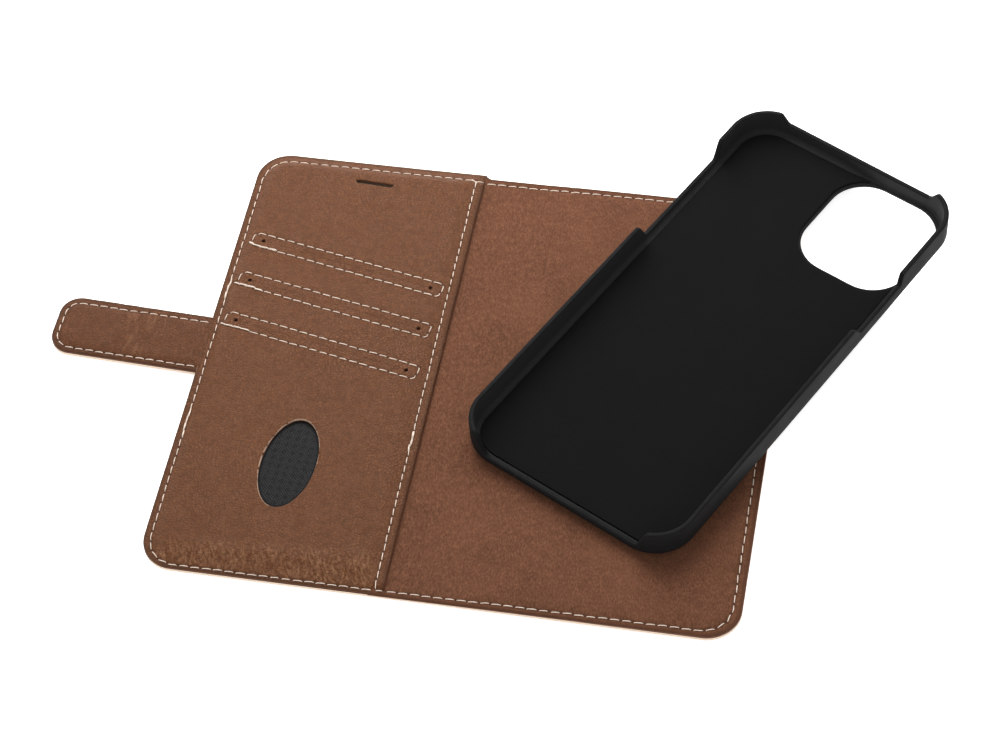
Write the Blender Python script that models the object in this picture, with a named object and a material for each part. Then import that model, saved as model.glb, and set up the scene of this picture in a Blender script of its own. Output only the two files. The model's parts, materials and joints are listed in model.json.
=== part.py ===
"""A phone wallet case lying open: two covers, a soft spine, a clasp strap and a lift-out tray.

Metres, +Z up. X runs from the front cover (-X) to the back cover (+X) and Y runs up the phone's
length. The origin is the centre of the back cover's underside, on the plane that the case lies on.
Each cover is a stack of thin sheets, so most heights below are (bottom, top) pairs of one layer.
"""

import math

import bmesh
import bpy
from mathutils import Matrix, Vector

# Covers, seen from above.
COVER_HEIGHT = 0.1560
COVER_WIDTH = 0.0775
SPINE_WIDTH = 0.0150
COVER_CORNER = 0.0100
FOLD_GAP = 0.00015
ARC_STEPS = 8

# Layers of the covers.
OUTER_LEATHER = (0.0, 0.0012)
BOARD = (0.0013, 0.0019)
BACK_LINING = (0.0020, 0.0026)
SPINE_LINING = (0.0013, 0.0019)
TOP_POCKET = (0.0020, 0.0022)
MIDDLE_POCKET = (0.0023, 0.0025)
BOTTOM_POCKET = (0.0026, 0.0028)
INNER_LEATHER = (0.0029, 0.0038)

# Fold lines. Each hinge axis lies on top of the outer leather.
FOLD_Z = OUTER_LEATHER[1]
BACK_FOLD_X = -COVER_WIDTH / 2
FRONT_FOLD_X = BACK_FOLD_X - SPINE_WIDTH
FRONT_EDGE_X = FRONT_FOLD_X - COVER_WIDTH
BACK_EDGE_X = COVER_WIDTH / 2
TOP_Y = COVER_HEIGHT / 2

# Stiffening inside the covers.
BOARD_INSET = 0.0030
PLATE_HALF = (0.0322, 0.0700)
PLATE_CORNER = 0.0030
PLATE_GAP = 0.0003

# The inner leather stops short of the fold and lies over the edge of the lining.
INNER_EDGE_X = -0.0598
LINING_TUCK_X = -0.0642

# Card slots in the inner leather.
SLOT_FIRST = (-0.0953, 0.0369)
SLOT_STEP = (-0.0005, -0.0158)
SLOT_SLOPE = math.radians(-11.65)
SLOT_LENGTH = 0.0558
SLOT_LIPS = 0.0006
SLOT_END_HOLE = 0.0007
SLOT_BAND = (0.0628, 0.0050)
POCKET_DEPTH = 0.0760
POCKET_WIDTH = 0.0600

# Earpiece slot and thumb window.
EARPIECE_CENTRE = (-0.0936, 0.0702)
EARPIECE_SIZE = (0.0120, 0.0013)
WINDOW_CENTRE = (-0.0965, -0.0380)
WINDOW_HALF = (0.0083, 0.0155)
WINDOW_TILT = math.radians(-3.0)
MESH_MARGIN = 0.0035

# Sewing thread, as one bead along each seam.
THREAD_RADIUS = 0.000125
THREAD_LIFT = 0.0001
EDGE_SEAM_INSET = 0.0020
SPINE_SEAM_INSET = 0.0026

# Clasp strap.
STRAP_OUTER = (0.0, 0.0008)
STRAP_CORE = (0.0009, 0.0017)
STRAP_INNER = (0.0018, 0.0025)
STRAP_WIDTH = 0.0208
STRAP_ROOT_X = FRONT_EDGE_X - 0.00065
STRAP_SIDE_LENGTH = 0.0156
STRAP_TIP_X = -0.1784
STRAP_ROOT_Y = 0.0008
STRAP_SLANT = math.tan(math.radians(-2.6))
STRAP_CORNER = 0.0065
TAB_LENGTH = 0.0125
TAB_GAP = 0.0003
MAGNET_LENGTH = 0.0180
MAGNET_WIDTH = 0.0130

# Phone tray, in its own frame: X across, Y up the phone, Z up from its back.
TRAY_HALF = (0.03775, 0.0770)
TRAY_HEIGHT = 0.0096
TRAY_WALL = 0.0016
TRAY_FLOOR = 0.0012
TRAY_CORNER = 0.0128
TRAY_BACK_ROUND = 0.0022
TRAY_INNER_ROUND = 0.0020
TRAY_CENTRE = (0.01866, 0.0270)
TRAY_TURN = math.radians(-27.15)
TRAY_LIFT = 0.00305
TRAY_DOCKED_X = 0.0005
WALL_RAMP = 0.0020
LOW_LEFT = (0.0158, 0.0550, 0.0034)
LOW_RIGHT = (0.0196, 0.0429, 0.0057)
LOW_TOP = (-0.0260, 0.0269, 0.0057)
LOW_BOTTOM = (-0.0280, 0.0276, 0.0033)
CAMERA_HOLE = (0.0002, 0.0353, 0.0370, 0.0746)
CAMERA_CORNER = 0.0115
STEEL_RECESS = (0.0260, -0.0600, 0.0280, 0.0007)
STEEL_SHEET = (0.0008, 0.0011)
TRAY_LINING = (0.0013, 0.0017)
TRAY_LINING_INSET = 0.0024

COLOURS = {
    "tan_leather": ((0.19, 0.088, 0.047), 0.52, 0.0),
    "suede": ((0.20, 0.090, 0.050), 0.90, 0.0),
    "thread": ((0.72, 0.60, 0.47), 0.65, 0.0),
    "board": ((0.30, 0.24, 0.17), 0.90, 0.0),
    "pocket_cloth": ((0.035, 0.033, 0.032), 0.90, 0.0),
    "mesh": ((0.030, 0.030, 0.031), 0.70, 0.0),
    "tray_plastic": ((0.013, 0.013, 0.014), 0.55, 0.0),
    "tray_lining": ((0.012, 0.012, 0.012), 0.85, 0.0),
    "steel": ((0.55, 0.55, 0.56), 0.35, 1.0),
    "magnet": ((0.42, 0.42, 0.44), 0.40, 1.0),
}


def clear_scene():
    for obj in list(bpy.data.objects):
        bpy.data.objects.remove(obj, do_unlink=True)


def collection(name, hidden=False):
    made = bpy.data.collections.new(name)
    bpy.context.scene.collection.children.link(made)
    made.hide_render = hidden
    return made


def material(name):
    found = bpy.data.materials.get(name)
    if found:
        return found
    colour, roughness, metallic = COLOURS[name]
    made = bpy.data.materials.new(name)
    made.use_nodes = True
    shader = made.node_tree.nodes["Principled BSDF"]
    shader.inputs["Base Color"].default_value = (*colour, 1.0)
    shader.inputs["Roughness"].default_value = roughness
    shader.inputs["Metallic"].default_value = metallic
    made.diffuse_color = (*colour, 1.0)
    return made


def joint_axis(name, x, y, z, parent=None):
    """An empty on a joint's axis, which the moving body hangs from."""
    empty = bpy.data.objects.new(name, None)
    empty.empty_display_size = 0.01
    CASE.objects.link(empty)
    empty.location = (x, y, z)
    bpy.context.view_layer.update()
    if parent:
        hang(empty, parent)
    return empty


def hang(obj, parent):
    """Parents obj and leaves it where it is."""
    obj.parent = parent
    obj.matrix_parent_inverse = parent.matrix_world.inverted()
    bpy.context.view_layer.update()


def arc(centre, radius, start, end, steps=ARC_STEPS):
    """Points on an arc, from start to end in degrees."""
    angles = [math.radians(start + (end - start) * i / steps) for i in range(steps + 1)]
    return [(centre[0] + radius * math.cos(a), centre[1] + radius * math.sin(a)) for a in angles]


def rounded(x0, x1, y0, y1, left, right):
    """A rectangle's outline, anticlockwise, with one radius on its left side and one on its right."""
    points = []
    for x, y, radius, sx, sy, start in (
        (x1, y1, right, -1, -1, 0),
        (x0, y1, left, 1, -1, 90),
        (x0, y0, left, 1, 1, 180),
        (x1, y0, right, -1, 1, 270),
    ):
        if radius > 0:
            points += arc((x + sx * radius, y + sy * radius), radius, start, start + 90)
        else:
            points.append((x, y))
    return points


def turned(points, centre, angle):
    """Points about the origin, turned by angle and moved to centre."""
    c, s = math.cos(angle), math.sin(angle)
    return [(centre[0] + c * x - s * y, centre[1] + s * x + c * y) for x, y in points]


def ellipse(half_x, half_y, steps=40):
    angles = [2 * math.pi * i / steps for i in range(steps)]
    return [(half_x * math.cos(a), half_y * math.sin(a)) for a in angles]


def spline(curve, points, z=0.0, cyclic=True):
    run = curve.splines.new("POLY")
    run.points.add(len(points) - 1)
    for point, place in zip(run.points, points):
        point.co = (place[0], place[1], z, 1.0)
    run.use_cyclic_u = cyclic


def sheet(name, layer, outline, colour, parent=None, holes=()):
    """A flat sheet: an outline with holes, filled and extruded over the layer's height."""
    curve = bpy.data.curves.new(name, "CURVE")
    curve.dimensions = "2D"
    curve.fill_mode = "BOTH"
    curve.extrude = (layer[1] - layer[0]) / 2
    for points in (outline, *holes):
        spline(curve, points)
    obj = bpy.data.objects.new(name, curve)
    obj.location.z = (layer[0] + layer[1]) / 2
    return finish(obj, colour, parent)


def bead(name, points, z, parent=None, cyclic=False):
    """One seam's thread, as a thin round bead lying just above the surface at height z."""
    curve = bpy.data.curves.new(name, "CURVE")
    curve.dimensions = "3D"
    curve.bevel_depth = THREAD_RADIUS
    curve.bevel_resolution = 1
    curve.use_fill_caps = True
    spline(curve, points, cyclic=cyclic)
    obj = bpy.data.objects.new(name, curve)
    obj.location.z = z + THREAD_LIFT + THREAD_RADIUS
    return finish(obj, "thread", parent)


def finish(obj, colour, parent):
    CASE.objects.link(obj)
    obj.data.materials.append(material(colour))
    bpy.context.view_layer.update()
    if parent:
        hang(obj, parent)
    return obj


def edge_seam(x0, x1, left, right, inset):
    """An open seam round three sides of a cover. A side with no radius is the open one."""
    y = TOP_Y - inset
    if right > 0:
        corner = right - inset
        x = x1 - inset
        points = [(x0, -y), *arc((x - corner, -y + corner), corner, 270, 360)]
        return points + arc((x - corner, y - corner), corner, 0, 90) + [(x0, y)]
    corner = left - inset
    x = x0 + inset
    points = [(x1, y), *arc((x + corner, y - corner), corner, 90, 180)]
    return points + arc((x + corner, -y + corner), corner, 180, 270) + [(x1, -y)]


def slot_centre(index):
    return (
        SLOT_FIRST[0] + SLOT_STEP[0] * index,
        SLOT_FIRST[1] + SLOT_STEP[1] * index,
    )


def slot_outline(index):
    """A long narrow slit with a round hole punched at each end."""
    half = SLOT_LENGTH / 2
    lip = SLOT_LIPS / 2
    side = math.degrees(math.asin(lip / SLOT_END_HOLE))
    points = arc((half, 0), SLOT_END_HOLE, -180 + side, 180 - side, 10)
    points += arc((-half, 0), SLOT_END_HOLE, side, 360 - side, 10)
    return turned(points, slot_centre(index), SLOT_SLOPE)


def slot_seam(index):
    """The seam round a slot, a long loop with clipped corners."""
    half_x, half_y = SLOT_BAND[0] / 2, SLOT_BAND[1] / 2
    clip = 0.0012
    points = [
        (half_x, half_y - clip),
        (half_x - clip, half_y),
        (clip - half_x, half_y),
        (-half_x, half_y - clip),
        (-half_x, clip - half_y),
        (clip - half_x, -half_y),
        (half_x - clip, -half_y),
        (half_x, clip - half_y),
    ]
    return turned(points, slot_centre(index), SLOT_SLOPE)


def pocket_outline(index):
    """A card pocket's cloth, which hangs from its slot and stops above the bottom seam."""
    centre = slot_centre(index)
    foot = max(centre[1] - POCKET_DEPTH, -TOP_Y + 0.0045)
    half = POCKET_WIDTH / 2
    rise = math.tan(SLOT_SLOPE) * half
    x0, x1 = centre[0] - half, centre[0] + half
    head = centre[1] + 0.0018
    return [(x1, head + rise), (x0, head - rise), (x0, foot), (x1, foot)]


def earpiece_outline():
    half_x, half_y = EARPIECE_SIZE[0] / 2, EARPIECE_SIZE[1] / 2
    points = arc((half_x - half_y, 0), half_y, -90, 90, 6)
    points += arc((half_y - half_x, 0), half_y, 90, 270, 6)
    return turned(points, EARPIECE_CENTRE, math.radians(-3))


def back_cover():
    """The cover that the phone's tray docks on, which is the fixed body."""
    outline = rounded(BACK_FOLD_X + FOLD_GAP, BACK_EDGE_X, -TOP_Y, TOP_Y, 0, COVER_CORNER)
    sheet("back_outer_leather", OUTER_LEATHER, outline, "tan_leather")
    board_left = BACK_FOLD_X + BOARD_INSET
    board_right = BACK_EDGE_X - BOARD_INSET
    board_top = TOP_Y - BOARD_INSET
    corner = COVER_CORNER - BOARD_INSET
    half_x, half_y = PLATE_HALF
    hole_x, hole_y = half_x + PLATE_GAP, half_y + PLATE_GAP
    outline = rounded(board_left, board_right, -board_top, board_top, 0, corner)
    hole = rounded(-hole_x, hole_x, -hole_y, hole_y, PLATE_CORNER, PLATE_CORNER)
    sheet("back_board", BOARD, outline, "board", holes=[hole])
    plate = rounded(-half_x, half_x, -half_y, half_y, PLATE_CORNER, PLATE_CORNER)
    sheet("back_magnet_plate", BOARD, plate, "magnet")
    rise = BACK_LINING[1] - FOLD_Z
    start = BACK_FOLD_X + rise + FOLD_GAP
    outline = rounded(start, BACK_EDGE_X, -TOP_Y, TOP_Y, 0, COVER_CORNER)
    sheet("back_lining", BACK_LINING, outline, "suede")
    seam = edge_seam(start, BACK_EDGE_X, 0, COVER_CORNER, EDGE_SEAM_INSET)
    bead("back_edge_thread", seam, BACK_LINING[1])


def spine(parent):
    """The soft strip between the two folds."""
    x0, x1 = FRONT_FOLD_X + FOLD_GAP, BACK_FOLD_X - FOLD_GAP
    sheet("spine_outer_leather", OUTER_LEATHER, rounded(x0, x1, -TOP_Y, TOP_Y, 0, 0), "tan_leather", parent)
    rise = SPINE_LINING[1] - FOLD_Z + 0.00005
    x0, x1 = FRONT_FOLD_X + rise, BACK_FOLD_X - rise
    sheet("spine_lining", SPINE_LINING, rounded(x0, x1, -TOP_Y, TOP_Y, 0, 0), "suede", parent)
    margin = 0.0006
    for name, side in (("spine_thread_top", 1), ("spine_thread_bottom", -1)):
        y = side * (TOP_Y - EDGE_SEAM_INSET)
        bead(name, [(x0 + margin, y), (x1 - margin, y)], SPINE_LINING[1], parent)


def front_cover(parent):
    """The cover with the card pockets."""
    earpiece = earpiece_outline()
    outline = rounded(FRONT_EDGE_X, FRONT_FOLD_X - FOLD_GAP, -TOP_Y, TOP_Y, COVER_CORNER, 0)
    sheet("front_outer_leather", OUTER_LEATHER, outline, "tan_leather", parent, [earpiece])
    board_top = TOP_Y - BOARD_INSET
    board_right = LINING_TUCK_X - 0.0003
    corner = COVER_CORNER - BOARD_INSET
    outline = rounded(FRONT_EDGE_X + BOARD_INSET, board_right, -board_top, board_top, corner, 0)
    after_top_corner = ARC_STEPS + 2
    outline[after_top_corner:after_top_corner] = tab_notch(FRONT_EDGE_X + BOARD_INSET)
    sheet("front_board", BOARD, outline, "board", parent, [earpiece])
    strip_right = FRONT_FOLD_X - (SPINE_LINING[1] - FOLD_Z) - 0.00005
    outline = rounded(LINING_TUCK_X, strip_right, -TOP_Y, TOP_Y, 0, 0)
    sheet("front_lining_margin", SPINE_LINING, outline, "suede", parent)
    pockets = (
        ("pocket_lining_top", TOP_POCKET),
        ("pocket_lining_middle", MIDDLE_POCKET),
        ("pocket_lining_bottom", BOTTOM_POCKET),
    )
    window = turned(ellipse(*WINDOW_HALF), WINDOW_CENTRE, WINDOW_TILT)
    around = [half + MESH_MARGIN for half in WINDOW_HALF]
    cloth_gap = [half + 0.0003 for half in around]
    passage = turned(ellipse(*cloth_gap), WINDOW_CENTRE, WINDOW_TILT)
    for index, (name, layer) in enumerate(pockets):
        holes = [passage] if name == "pocket_lining_bottom" else []
        sheet(name, layer, pocket_outline(index), "pocket_cloth", parent, holes)
    mesh = turned(ellipse(*around), WINDOW_CENTRE, WINDOW_TILT)
    sheet("thumb_window_mesh", BOTTOM_POCKET, mesh, "mesh", parent)
    outline = rounded(FRONT_EDGE_X, INNER_EDGE_X, -TOP_Y, TOP_Y, COVER_CORNER, 0)
    holes = [earpiece, window, *(slot_outline(index) for index in range(3))]
    sheet("front_inner_leather", INNER_LEATHER, outline, "tan_leather", parent, holes)
    seam = edge_seam(FRONT_EDGE_X, INNER_EDGE_X, COVER_CORNER, 0, EDGE_SEAM_INSET)
    bead("front_edge_thread", seam, INNER_LEATHER[1], parent)
    x = INNER_EDGE_X - SPINE_SEAM_INSET
    y = TOP_Y - EDGE_SEAM_INSET - 0.0006
    bead("front_spine_side_thread", [(x, -y), (x, y)], INNER_LEATHER[1], parent)
    for index, name in enumerate(("slot_thread_top", "slot_thread_middle", "slot_thread_bottom")):
        bead(name, slot_seam(index), INNER_LEATHER[1], parent, cyclic=True)


def strap_y(x):
    """The height of the strap's centre line, which slants a little."""
    return STRAP_ROOT_Y + (x - STRAP_ROOT_X) * STRAP_SLANT


def slanted(points):
    return [(x, y + strap_y(x)) for x, y in points]


def tab_notch(edge_x):
    """The notch in the front board's edge that the strap's root lies in."""
    half = STRAP_WIDTH / 2 + TAB_GAP
    end_x = FRONT_EDGE_X + TAB_LENGTH + TAB_GAP
    top, bottom = STRAP_ROOT_Y + half, STRAP_ROOT_Y - half
    return [(edge_x, top), (end_x, top), (end_x, bottom), (edge_x, bottom)]


def strap_tab(parent):
    """The strap's root, glued inside the front cover."""
    half = STRAP_WIDTH / 2
    y0, y1 = STRAP_ROOT_Y - half, STRAP_ROOT_Y + half
    outline = rounded(FRONT_EDGE_X + TAB_GAP, FRONT_EDGE_X + TAB_LENGTH, y0, y1, 0, 0)
    sheet("strap_anchor_tab", BOARD, outline, "tan_leather", parent)


def strap_side(parent):
    """The stretch of strap that spans the closed case's thickness."""
    x0, x1 = STRAP_ROOT_X - STRAP_SIDE_LENGTH + FOLD_GAP, STRAP_ROOT_X - FOLD_GAP
    half = STRAP_WIDTH / 2
    outline = slanted(rounded(x0, x1, -half, half, 0, 0))
    sheet("strap_side_outer_leather", STRAP_OUTER, outline, "tan_leather", parent)
    sheet("strap_side_inner_leather", STRAP_INNER, outline, "tan_leather", parent)
    inset = EDGE_SEAM_INSET + 0.0012
    core = slanted(rounded(x0 + 0.0006, x1 - 0.0006, inset - half, half - inset, 0, 0))
    sheet("strap_side_filler", STRAP_CORE, core, "board", parent)
    for name, side in (("strap_side_thread_upper", 1), ("strap_side_thread_lower", -1)):
        y = side * (half - EDGE_SEAM_INSET)
        ends = slanted([(x0 + 0.0005, y), (x1 - 0.0005, y)])
        bead(name, ends, STRAP_INNER[1], parent)


def strap_tip(parent):
    """The end of the strap, with the magnet that holds it on the back cover."""
    x1 = STRAP_ROOT_X - STRAP_SIDE_LENGTH - FOLD_GAP
    half = STRAP_WIDTH / 2
    outline = slanted(rounded(STRAP_TIP_X, x1, -half, half, STRAP_CORNER, 0))
    sheet("strap_tip_outer_leather", STRAP_OUTER, outline, "tan_leather", parent)
    sheet("strap_tip_inner_leather", STRAP_INNER, outline, "tan_leather", parent)
    x0 = STRAP_TIP_X + EDGE_SEAM_INSET + 0.0016
    pull = MAGNET_WIDTH / 2
    magnet = slanted(rounded(x0, x0 + MAGNET_LENGTH, -pull, pull, 0.0015, 0.0015))
    sheet("strap_clasp_magnet", STRAP_CORE, magnet, "magnet", parent)
    inset = EDGE_SEAM_INSET
    corner = STRAP_CORNER - inset
    y = half - inset
    x = STRAP_TIP_X + inset
    seam = [(x1 - 0.0005, y), *arc((x + corner, y - corner), corner, 90, 180)]
    seam += [*arc((x + corner, corner - y), corner, 180, 270), (x1 - 0.0005, -y)]
    bead("strap_tip_thread", slanted(seam), STRAP_INNER[1], parent)


def block(name, x0, x1, y0, y1, z0, z1, corner, foot, steps=6):
    """A box with round upright edges, and a round edge at its foot."""
    mesh = bmesh.new()
    bmesh.ops.create_cube(mesh, size=1.0)
    size = Vector((x1 - x0, y1 - y0, z1 - z0))
    middle = Vector((x0 + x1, y0 + y1, z0 + z1)) / 2
    bmesh.ops.scale(mesh, vec=size, verts=mesh.verts)
    bmesh.ops.translate(mesh, vec=middle, verts=mesh.verts)
    if corner > 0:
        upright = [e for e in mesh.edges if abs(e.verts[0].co.z - e.verts[1].co.z) > 1e-5]
        bmesh.ops.bevel(
            mesh, geom=upright, offset=corner, offset_type="OFFSET", segments=steps, profile=0.5, affect="EDGES"
        )
    if foot > 0:
        low = [e for e in mesh.edges if max(e.verts[0].co.z, e.verts[1].co.z) < z0 + 1e-6]
        bmesh.ops.bevel(
            mesh, geom=low, offset=foot, offset_type="OFFSET", segments=3, profile=0.5, affect="EDGES"
        )
    bmesh.ops.recalc_face_normals(mesh, faces=mesh.faces)
    data = bpy.data.meshes.new(name)
    mesh.to_mesh(data)
    mesh.free()
    return bpy.data.objects.new(name, data)


def cutter(obj, frame):
    CUTTERS.objects.link(obj)
    obj.hide_render = True
    obj.display_type = "WIRE"
    obj.matrix_world = frame
    return obj


def cut(obj, tool, name):
    step = obj.modifiers.new(name, "BOOLEAN")
    step.operation = "DIFFERENCE"
    step.solver = "EXACT"
    step.object = tool


def wall_notch(name, start, end, floor, across, along_y, frame):
    """A cutter for one low stretch of the tray's wall, wider at its top so that the wall ramps down."""
    mesh = bmesh.new()
    bmesh.ops.create_cube(mesh, size=1.0)
    top = TRAY_HEIGHT + 0.002
    flare = WALL_RAMP * (top - floor) / (TRAY_HEIGHT - floor)
    for vert in mesh.verts:
        spread = flare if vert.co.z > 0 else 0.0
        run = end + spread if vert.co.x > 0 else start - spread
        side = across[1] if vert.co.y > 0 else across[0]
        height = top if vert.co.z > 0 else floor
        vert.co = (side, run, height) if along_y else (run, side, height)
    bmesh.ops.recalc_face_normals(mesh, faces=mesh.faces)
    data = bpy.data.meshes.new(name)
    mesh.to_mesh(data)
    mesh.free()
    return cutter(bpy.data.objects.new(name, data), frame)


def tray(parent):
    """The hard shell that grips the phone, lying skewed on the back cover."""
    frame = Matrix.Translation((*TRAY_CENTRE, TRAY_LIFT)) @ Matrix.Rotation(TRAY_TURN, 4, "Z")
    half_x, half_y = TRAY_HALF
    shell = block(
        "tray_shell", -half_x, half_x, -half_y, half_y, 0, TRAY_HEIGHT, TRAY_CORNER, TRAY_BACK_ROUND
    )
    shell.matrix_world = frame
    in_x, in_y = half_x - TRAY_WALL, half_y - TRAY_WALL
    corner = TRAY_CORNER - TRAY_WALL
    high = TRAY_HEIGHT + 0.002
    bay = block("tray_bay", -in_x, in_x, -in_y, in_y, TRAY_FLOOR, high, corner, TRAY_INNER_ROUND)
    cut(shell, cutter(bay, frame), "bay")
    recess_x, recess_y0, recess_y1, recess_z = STEEL_RECESS
    recess = block("steel_recess", -recess_x, recess_x, recess_y0, recess_y1, recess_z, 0.003, 0.002, 0)
    cut(shell, cutter(recess, frame), "steel recess")
    x0, x1, y0, y1 = CAMERA_HOLE
    hole = block("camera_cut_out", x0, x1, y0, y1, -0.002, 0.004, CAMERA_CORNER, 0)
    cut(shell, cutter(hole, frame), "camera cut-out")
    inner = half_x - TRAY_WALL - 0.003
    outer = half_x + 0.002
    low = half_y - TRAY_WALL - 0.003
    far = half_y + 0.002
    for name, zone, across, along_y in (
        ("low_left", LOW_LEFT, (-outer, -inner), True),
        ("low_right", LOW_RIGHT, (inner, outer), True),
        ("low_top", LOW_TOP, (low, far), False),
        ("low_bottom", LOW_BOTTOM, (-far, -low), False),
    ):
        cut(shell, wall_notch(name, *zone, across, along_y, frame), name)
    finish(shell, "tray_plastic", parent)
    shell.data.shade_smooth()
    margin = 0.0004
    points = rounded(margin - recess_x, recess_x - margin, recess_y0 + margin, recess_y1 - margin, 0.002, 0.002)
    place(sheet("tray_steel_sheet", STEEL_SHEET, points, "steel"), frame, parent)
    in_x, in_y = in_x - TRAY_LINING_INSET, in_y - TRAY_LINING_INSET
    corner -= TRAY_LINING_INSET
    outline = rounded(-in_x, in_x, -in_y, in_y, corner, corner)
    place(sheet("tray_floor_lining", TRAY_LINING, lining_outline(outline), "tray_lining"), frame, parent)


def lining_outline(outline):
    """The tray lining's outline, with its upper right corner cut away round the camera hole."""
    x0, _, y0, _ = CAMERA_HOLE
    margin = 0.0008
    edge_x, edge_y = x0 - margin, y0 - margin
    kept = [p for p in outline if not (p[0] > edge_x and p[1] > edge_y)]
    right = max(p[0] for p in outline)
    top = max(p[1] for p in outline)
    turn = CAMERA_CORNER + margin
    notch = [(edge_x, top), *arc((edge_x + turn, edge_y + turn), turn, 180, 270), (right, edge_y)]
    start = next(i for i, p in enumerate(kept) if p[1] == top)
    return kept[:start] + notch[::-1] + kept[start:]


def place(obj, frame, parent):
    """Moves a piece from the tray's own frame to where the tray lies."""
    obj.matrix_world = frame @ obj.matrix_world
    bpy.context.view_layer.update()
    hang(obj, parent)


def swivel_pivot():
    """The one point about which a turn carries the skewed tray square onto the back cover."""
    start = Vector(TRAY_CENTRE)
    move = Vector((TRAY_DOCKED_X, 0.0)) - start
    reach = move.length / 2 / math.tan(-TRAY_TURN / 2)
    aside = Vector((-move.y, move.x)).normalized()
    return start + move / 2 + aside * reach


def main():
    back_cover()
    spine_axis = joint_axis("spine_fold_axis", BACK_FOLD_X, 0, FOLD_Z)
    front_axis = joint_axis("front_cover_fold_axis", FRONT_FOLD_X, 0, FOLD_Z, spine_axis)
    strap_root_axis = joint_axis("strap_root_fold_axis", STRAP_ROOT_X, 0, STRAP_INNER[1], front_axis)
    tip_x = STRAP_ROOT_X - STRAP_SIDE_LENGTH
    strap_tip_axis = joint_axis("strap_tip_fold_axis", tip_x, 0, STRAP_INNER[1], strap_root_axis)
    tray_axis = joint_axis("tray_swivel_axis", *swivel_pivot(), TRAY_LIFT)
    spine(spine_axis)
    front_cover(front_axis)
    strap_tab(front_axis)
    strap_side(strap_root_axis)
    strap_tip(strap_tip_axis)
    tray(tray_axis)


clear_scene()
CASE = collection("phone_wallet_case")
CUTTERS = collection("cutters", hidden=True)
main()
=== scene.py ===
"""The looks of the phone wallet case: leather, suede, stitching, mesh and the moulded tray.

Shapes are worked out in millimetres, in the CAD frame, and become metres when a mesh is made.
"""

import json
import math

import bmesh
import bpy
import numpy as np
from mathutils import Matrix, Vector, geometry, kdtree


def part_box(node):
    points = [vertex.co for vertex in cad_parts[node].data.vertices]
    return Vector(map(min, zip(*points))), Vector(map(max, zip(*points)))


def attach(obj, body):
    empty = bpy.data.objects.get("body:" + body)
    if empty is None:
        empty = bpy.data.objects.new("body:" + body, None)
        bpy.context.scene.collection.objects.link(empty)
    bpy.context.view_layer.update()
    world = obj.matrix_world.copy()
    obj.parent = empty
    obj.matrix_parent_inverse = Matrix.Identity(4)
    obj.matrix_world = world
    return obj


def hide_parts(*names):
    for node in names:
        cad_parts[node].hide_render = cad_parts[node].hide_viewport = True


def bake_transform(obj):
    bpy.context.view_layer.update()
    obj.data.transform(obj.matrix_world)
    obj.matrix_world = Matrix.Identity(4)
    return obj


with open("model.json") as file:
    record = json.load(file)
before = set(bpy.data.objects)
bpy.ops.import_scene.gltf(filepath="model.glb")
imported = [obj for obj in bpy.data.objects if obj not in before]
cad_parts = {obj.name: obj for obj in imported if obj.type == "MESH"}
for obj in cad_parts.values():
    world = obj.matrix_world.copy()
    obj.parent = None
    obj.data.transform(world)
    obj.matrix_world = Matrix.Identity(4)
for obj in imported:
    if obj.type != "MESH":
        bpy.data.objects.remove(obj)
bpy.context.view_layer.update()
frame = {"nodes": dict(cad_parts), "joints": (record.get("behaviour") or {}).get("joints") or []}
MM = 0.001


def span(node):
    """A CAD node's box as (x0, x1, y0, y1, z0, z1), in millimetres."""
    low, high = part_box(node)
    return tuple(v / MM for pair in zip(low, high) for v in pair)


# Covers, from the frame.
FRONT = span("front_outer_leather")
INNER = span("front_inner_leather")
BACK = span("back_outer_leather")
LINING = span("back_lining")
MARGIN = span("front_lining_margin")
HINGES = {joint["name"]: [c / MM for c in joint["pos_m"]] for joint in frame["joints"]}
FRONT_FOLD = HINGES["front_cover_fold"][0]
BACK_FOLD = HINGES["spine_fold"][0]
SPINE_MIDDLE = (FRONT_FOLD + BACK_FOLD) / 2
TOP_Y = FRONT[3]
CORNER = 10.0
SEAM_INSET = 2.0
TOP_SEAM_INSET = 2.2
LOW_SEAM_INSET = 1.75
FRONT_LOW_INSET = 1.5
TURNED_TOP = 1.3
TURNED_LOW = -0.5
EDGE_TOP = 2.1
LEFT_GROWTH = 0.25
RIGHT_GROWTH = 0.5
SPINE_SEAM_INSET = 2.6
STITCH_PITCH = 3.3
SEAM_CORNER = CORNER - SEAM_INSET
RAW_EDGE = 1.1
SHEET_JOIN = 1.28
BEND_REACH = 3.25
EDGE_ROWS = (0.05, 0.14, 0.28, 0.45, 0.8, 1.3)

# Card slots, earpiece slot and thumb window in the front cover.
SLOT_NODES = ("slot_thread_top", "slot_thread_middle", "slot_thread_bottom")
SLOT_SLOPE = math.radians(-11.65)
SLOT_LENGTH = 55.8
SLOT_LIP = 0.02
SLOT_HOLE = 0.62
SLOT_BAND = (62.8, 5.0)
SLOT_SHIFT = 0.45
EARPIECE = (-93.6, 69.75, 12.0, 1.3, math.radians(-3.0))
WINDOW = (-95.85, -38.5, 8.05, 15.6, math.radians(-3.0))
WEAVE_PITCH = 0.62
# Weave faces sunk deeper than WEAVE_GAP, and those past WEAVE_SHADOW of the way to the window's edge, are
# painted in shade.
WEAVE_GAP = 0.06
WEAVE_SHADOW = 0.93

# Strap.
STRAP_SIDE = span("strap_side_inner_leather")
STRAP_TIP = span("strap_tip_inner_leather")
STRAP_ROOT_FOLD = HINGES["strap_root_fold"]
STRAP_TIP_FOLD = HINGES["strap_tip_fold"]
STRAP_WIDTH = 20.8
STRAP_CORNER = 6.5
STRAP_SLANT = math.tan(math.radians(-2.6))
STRAP_ROOT_Y = 1.7
STRAP_SEAM_SHIFT = -0.45

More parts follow.
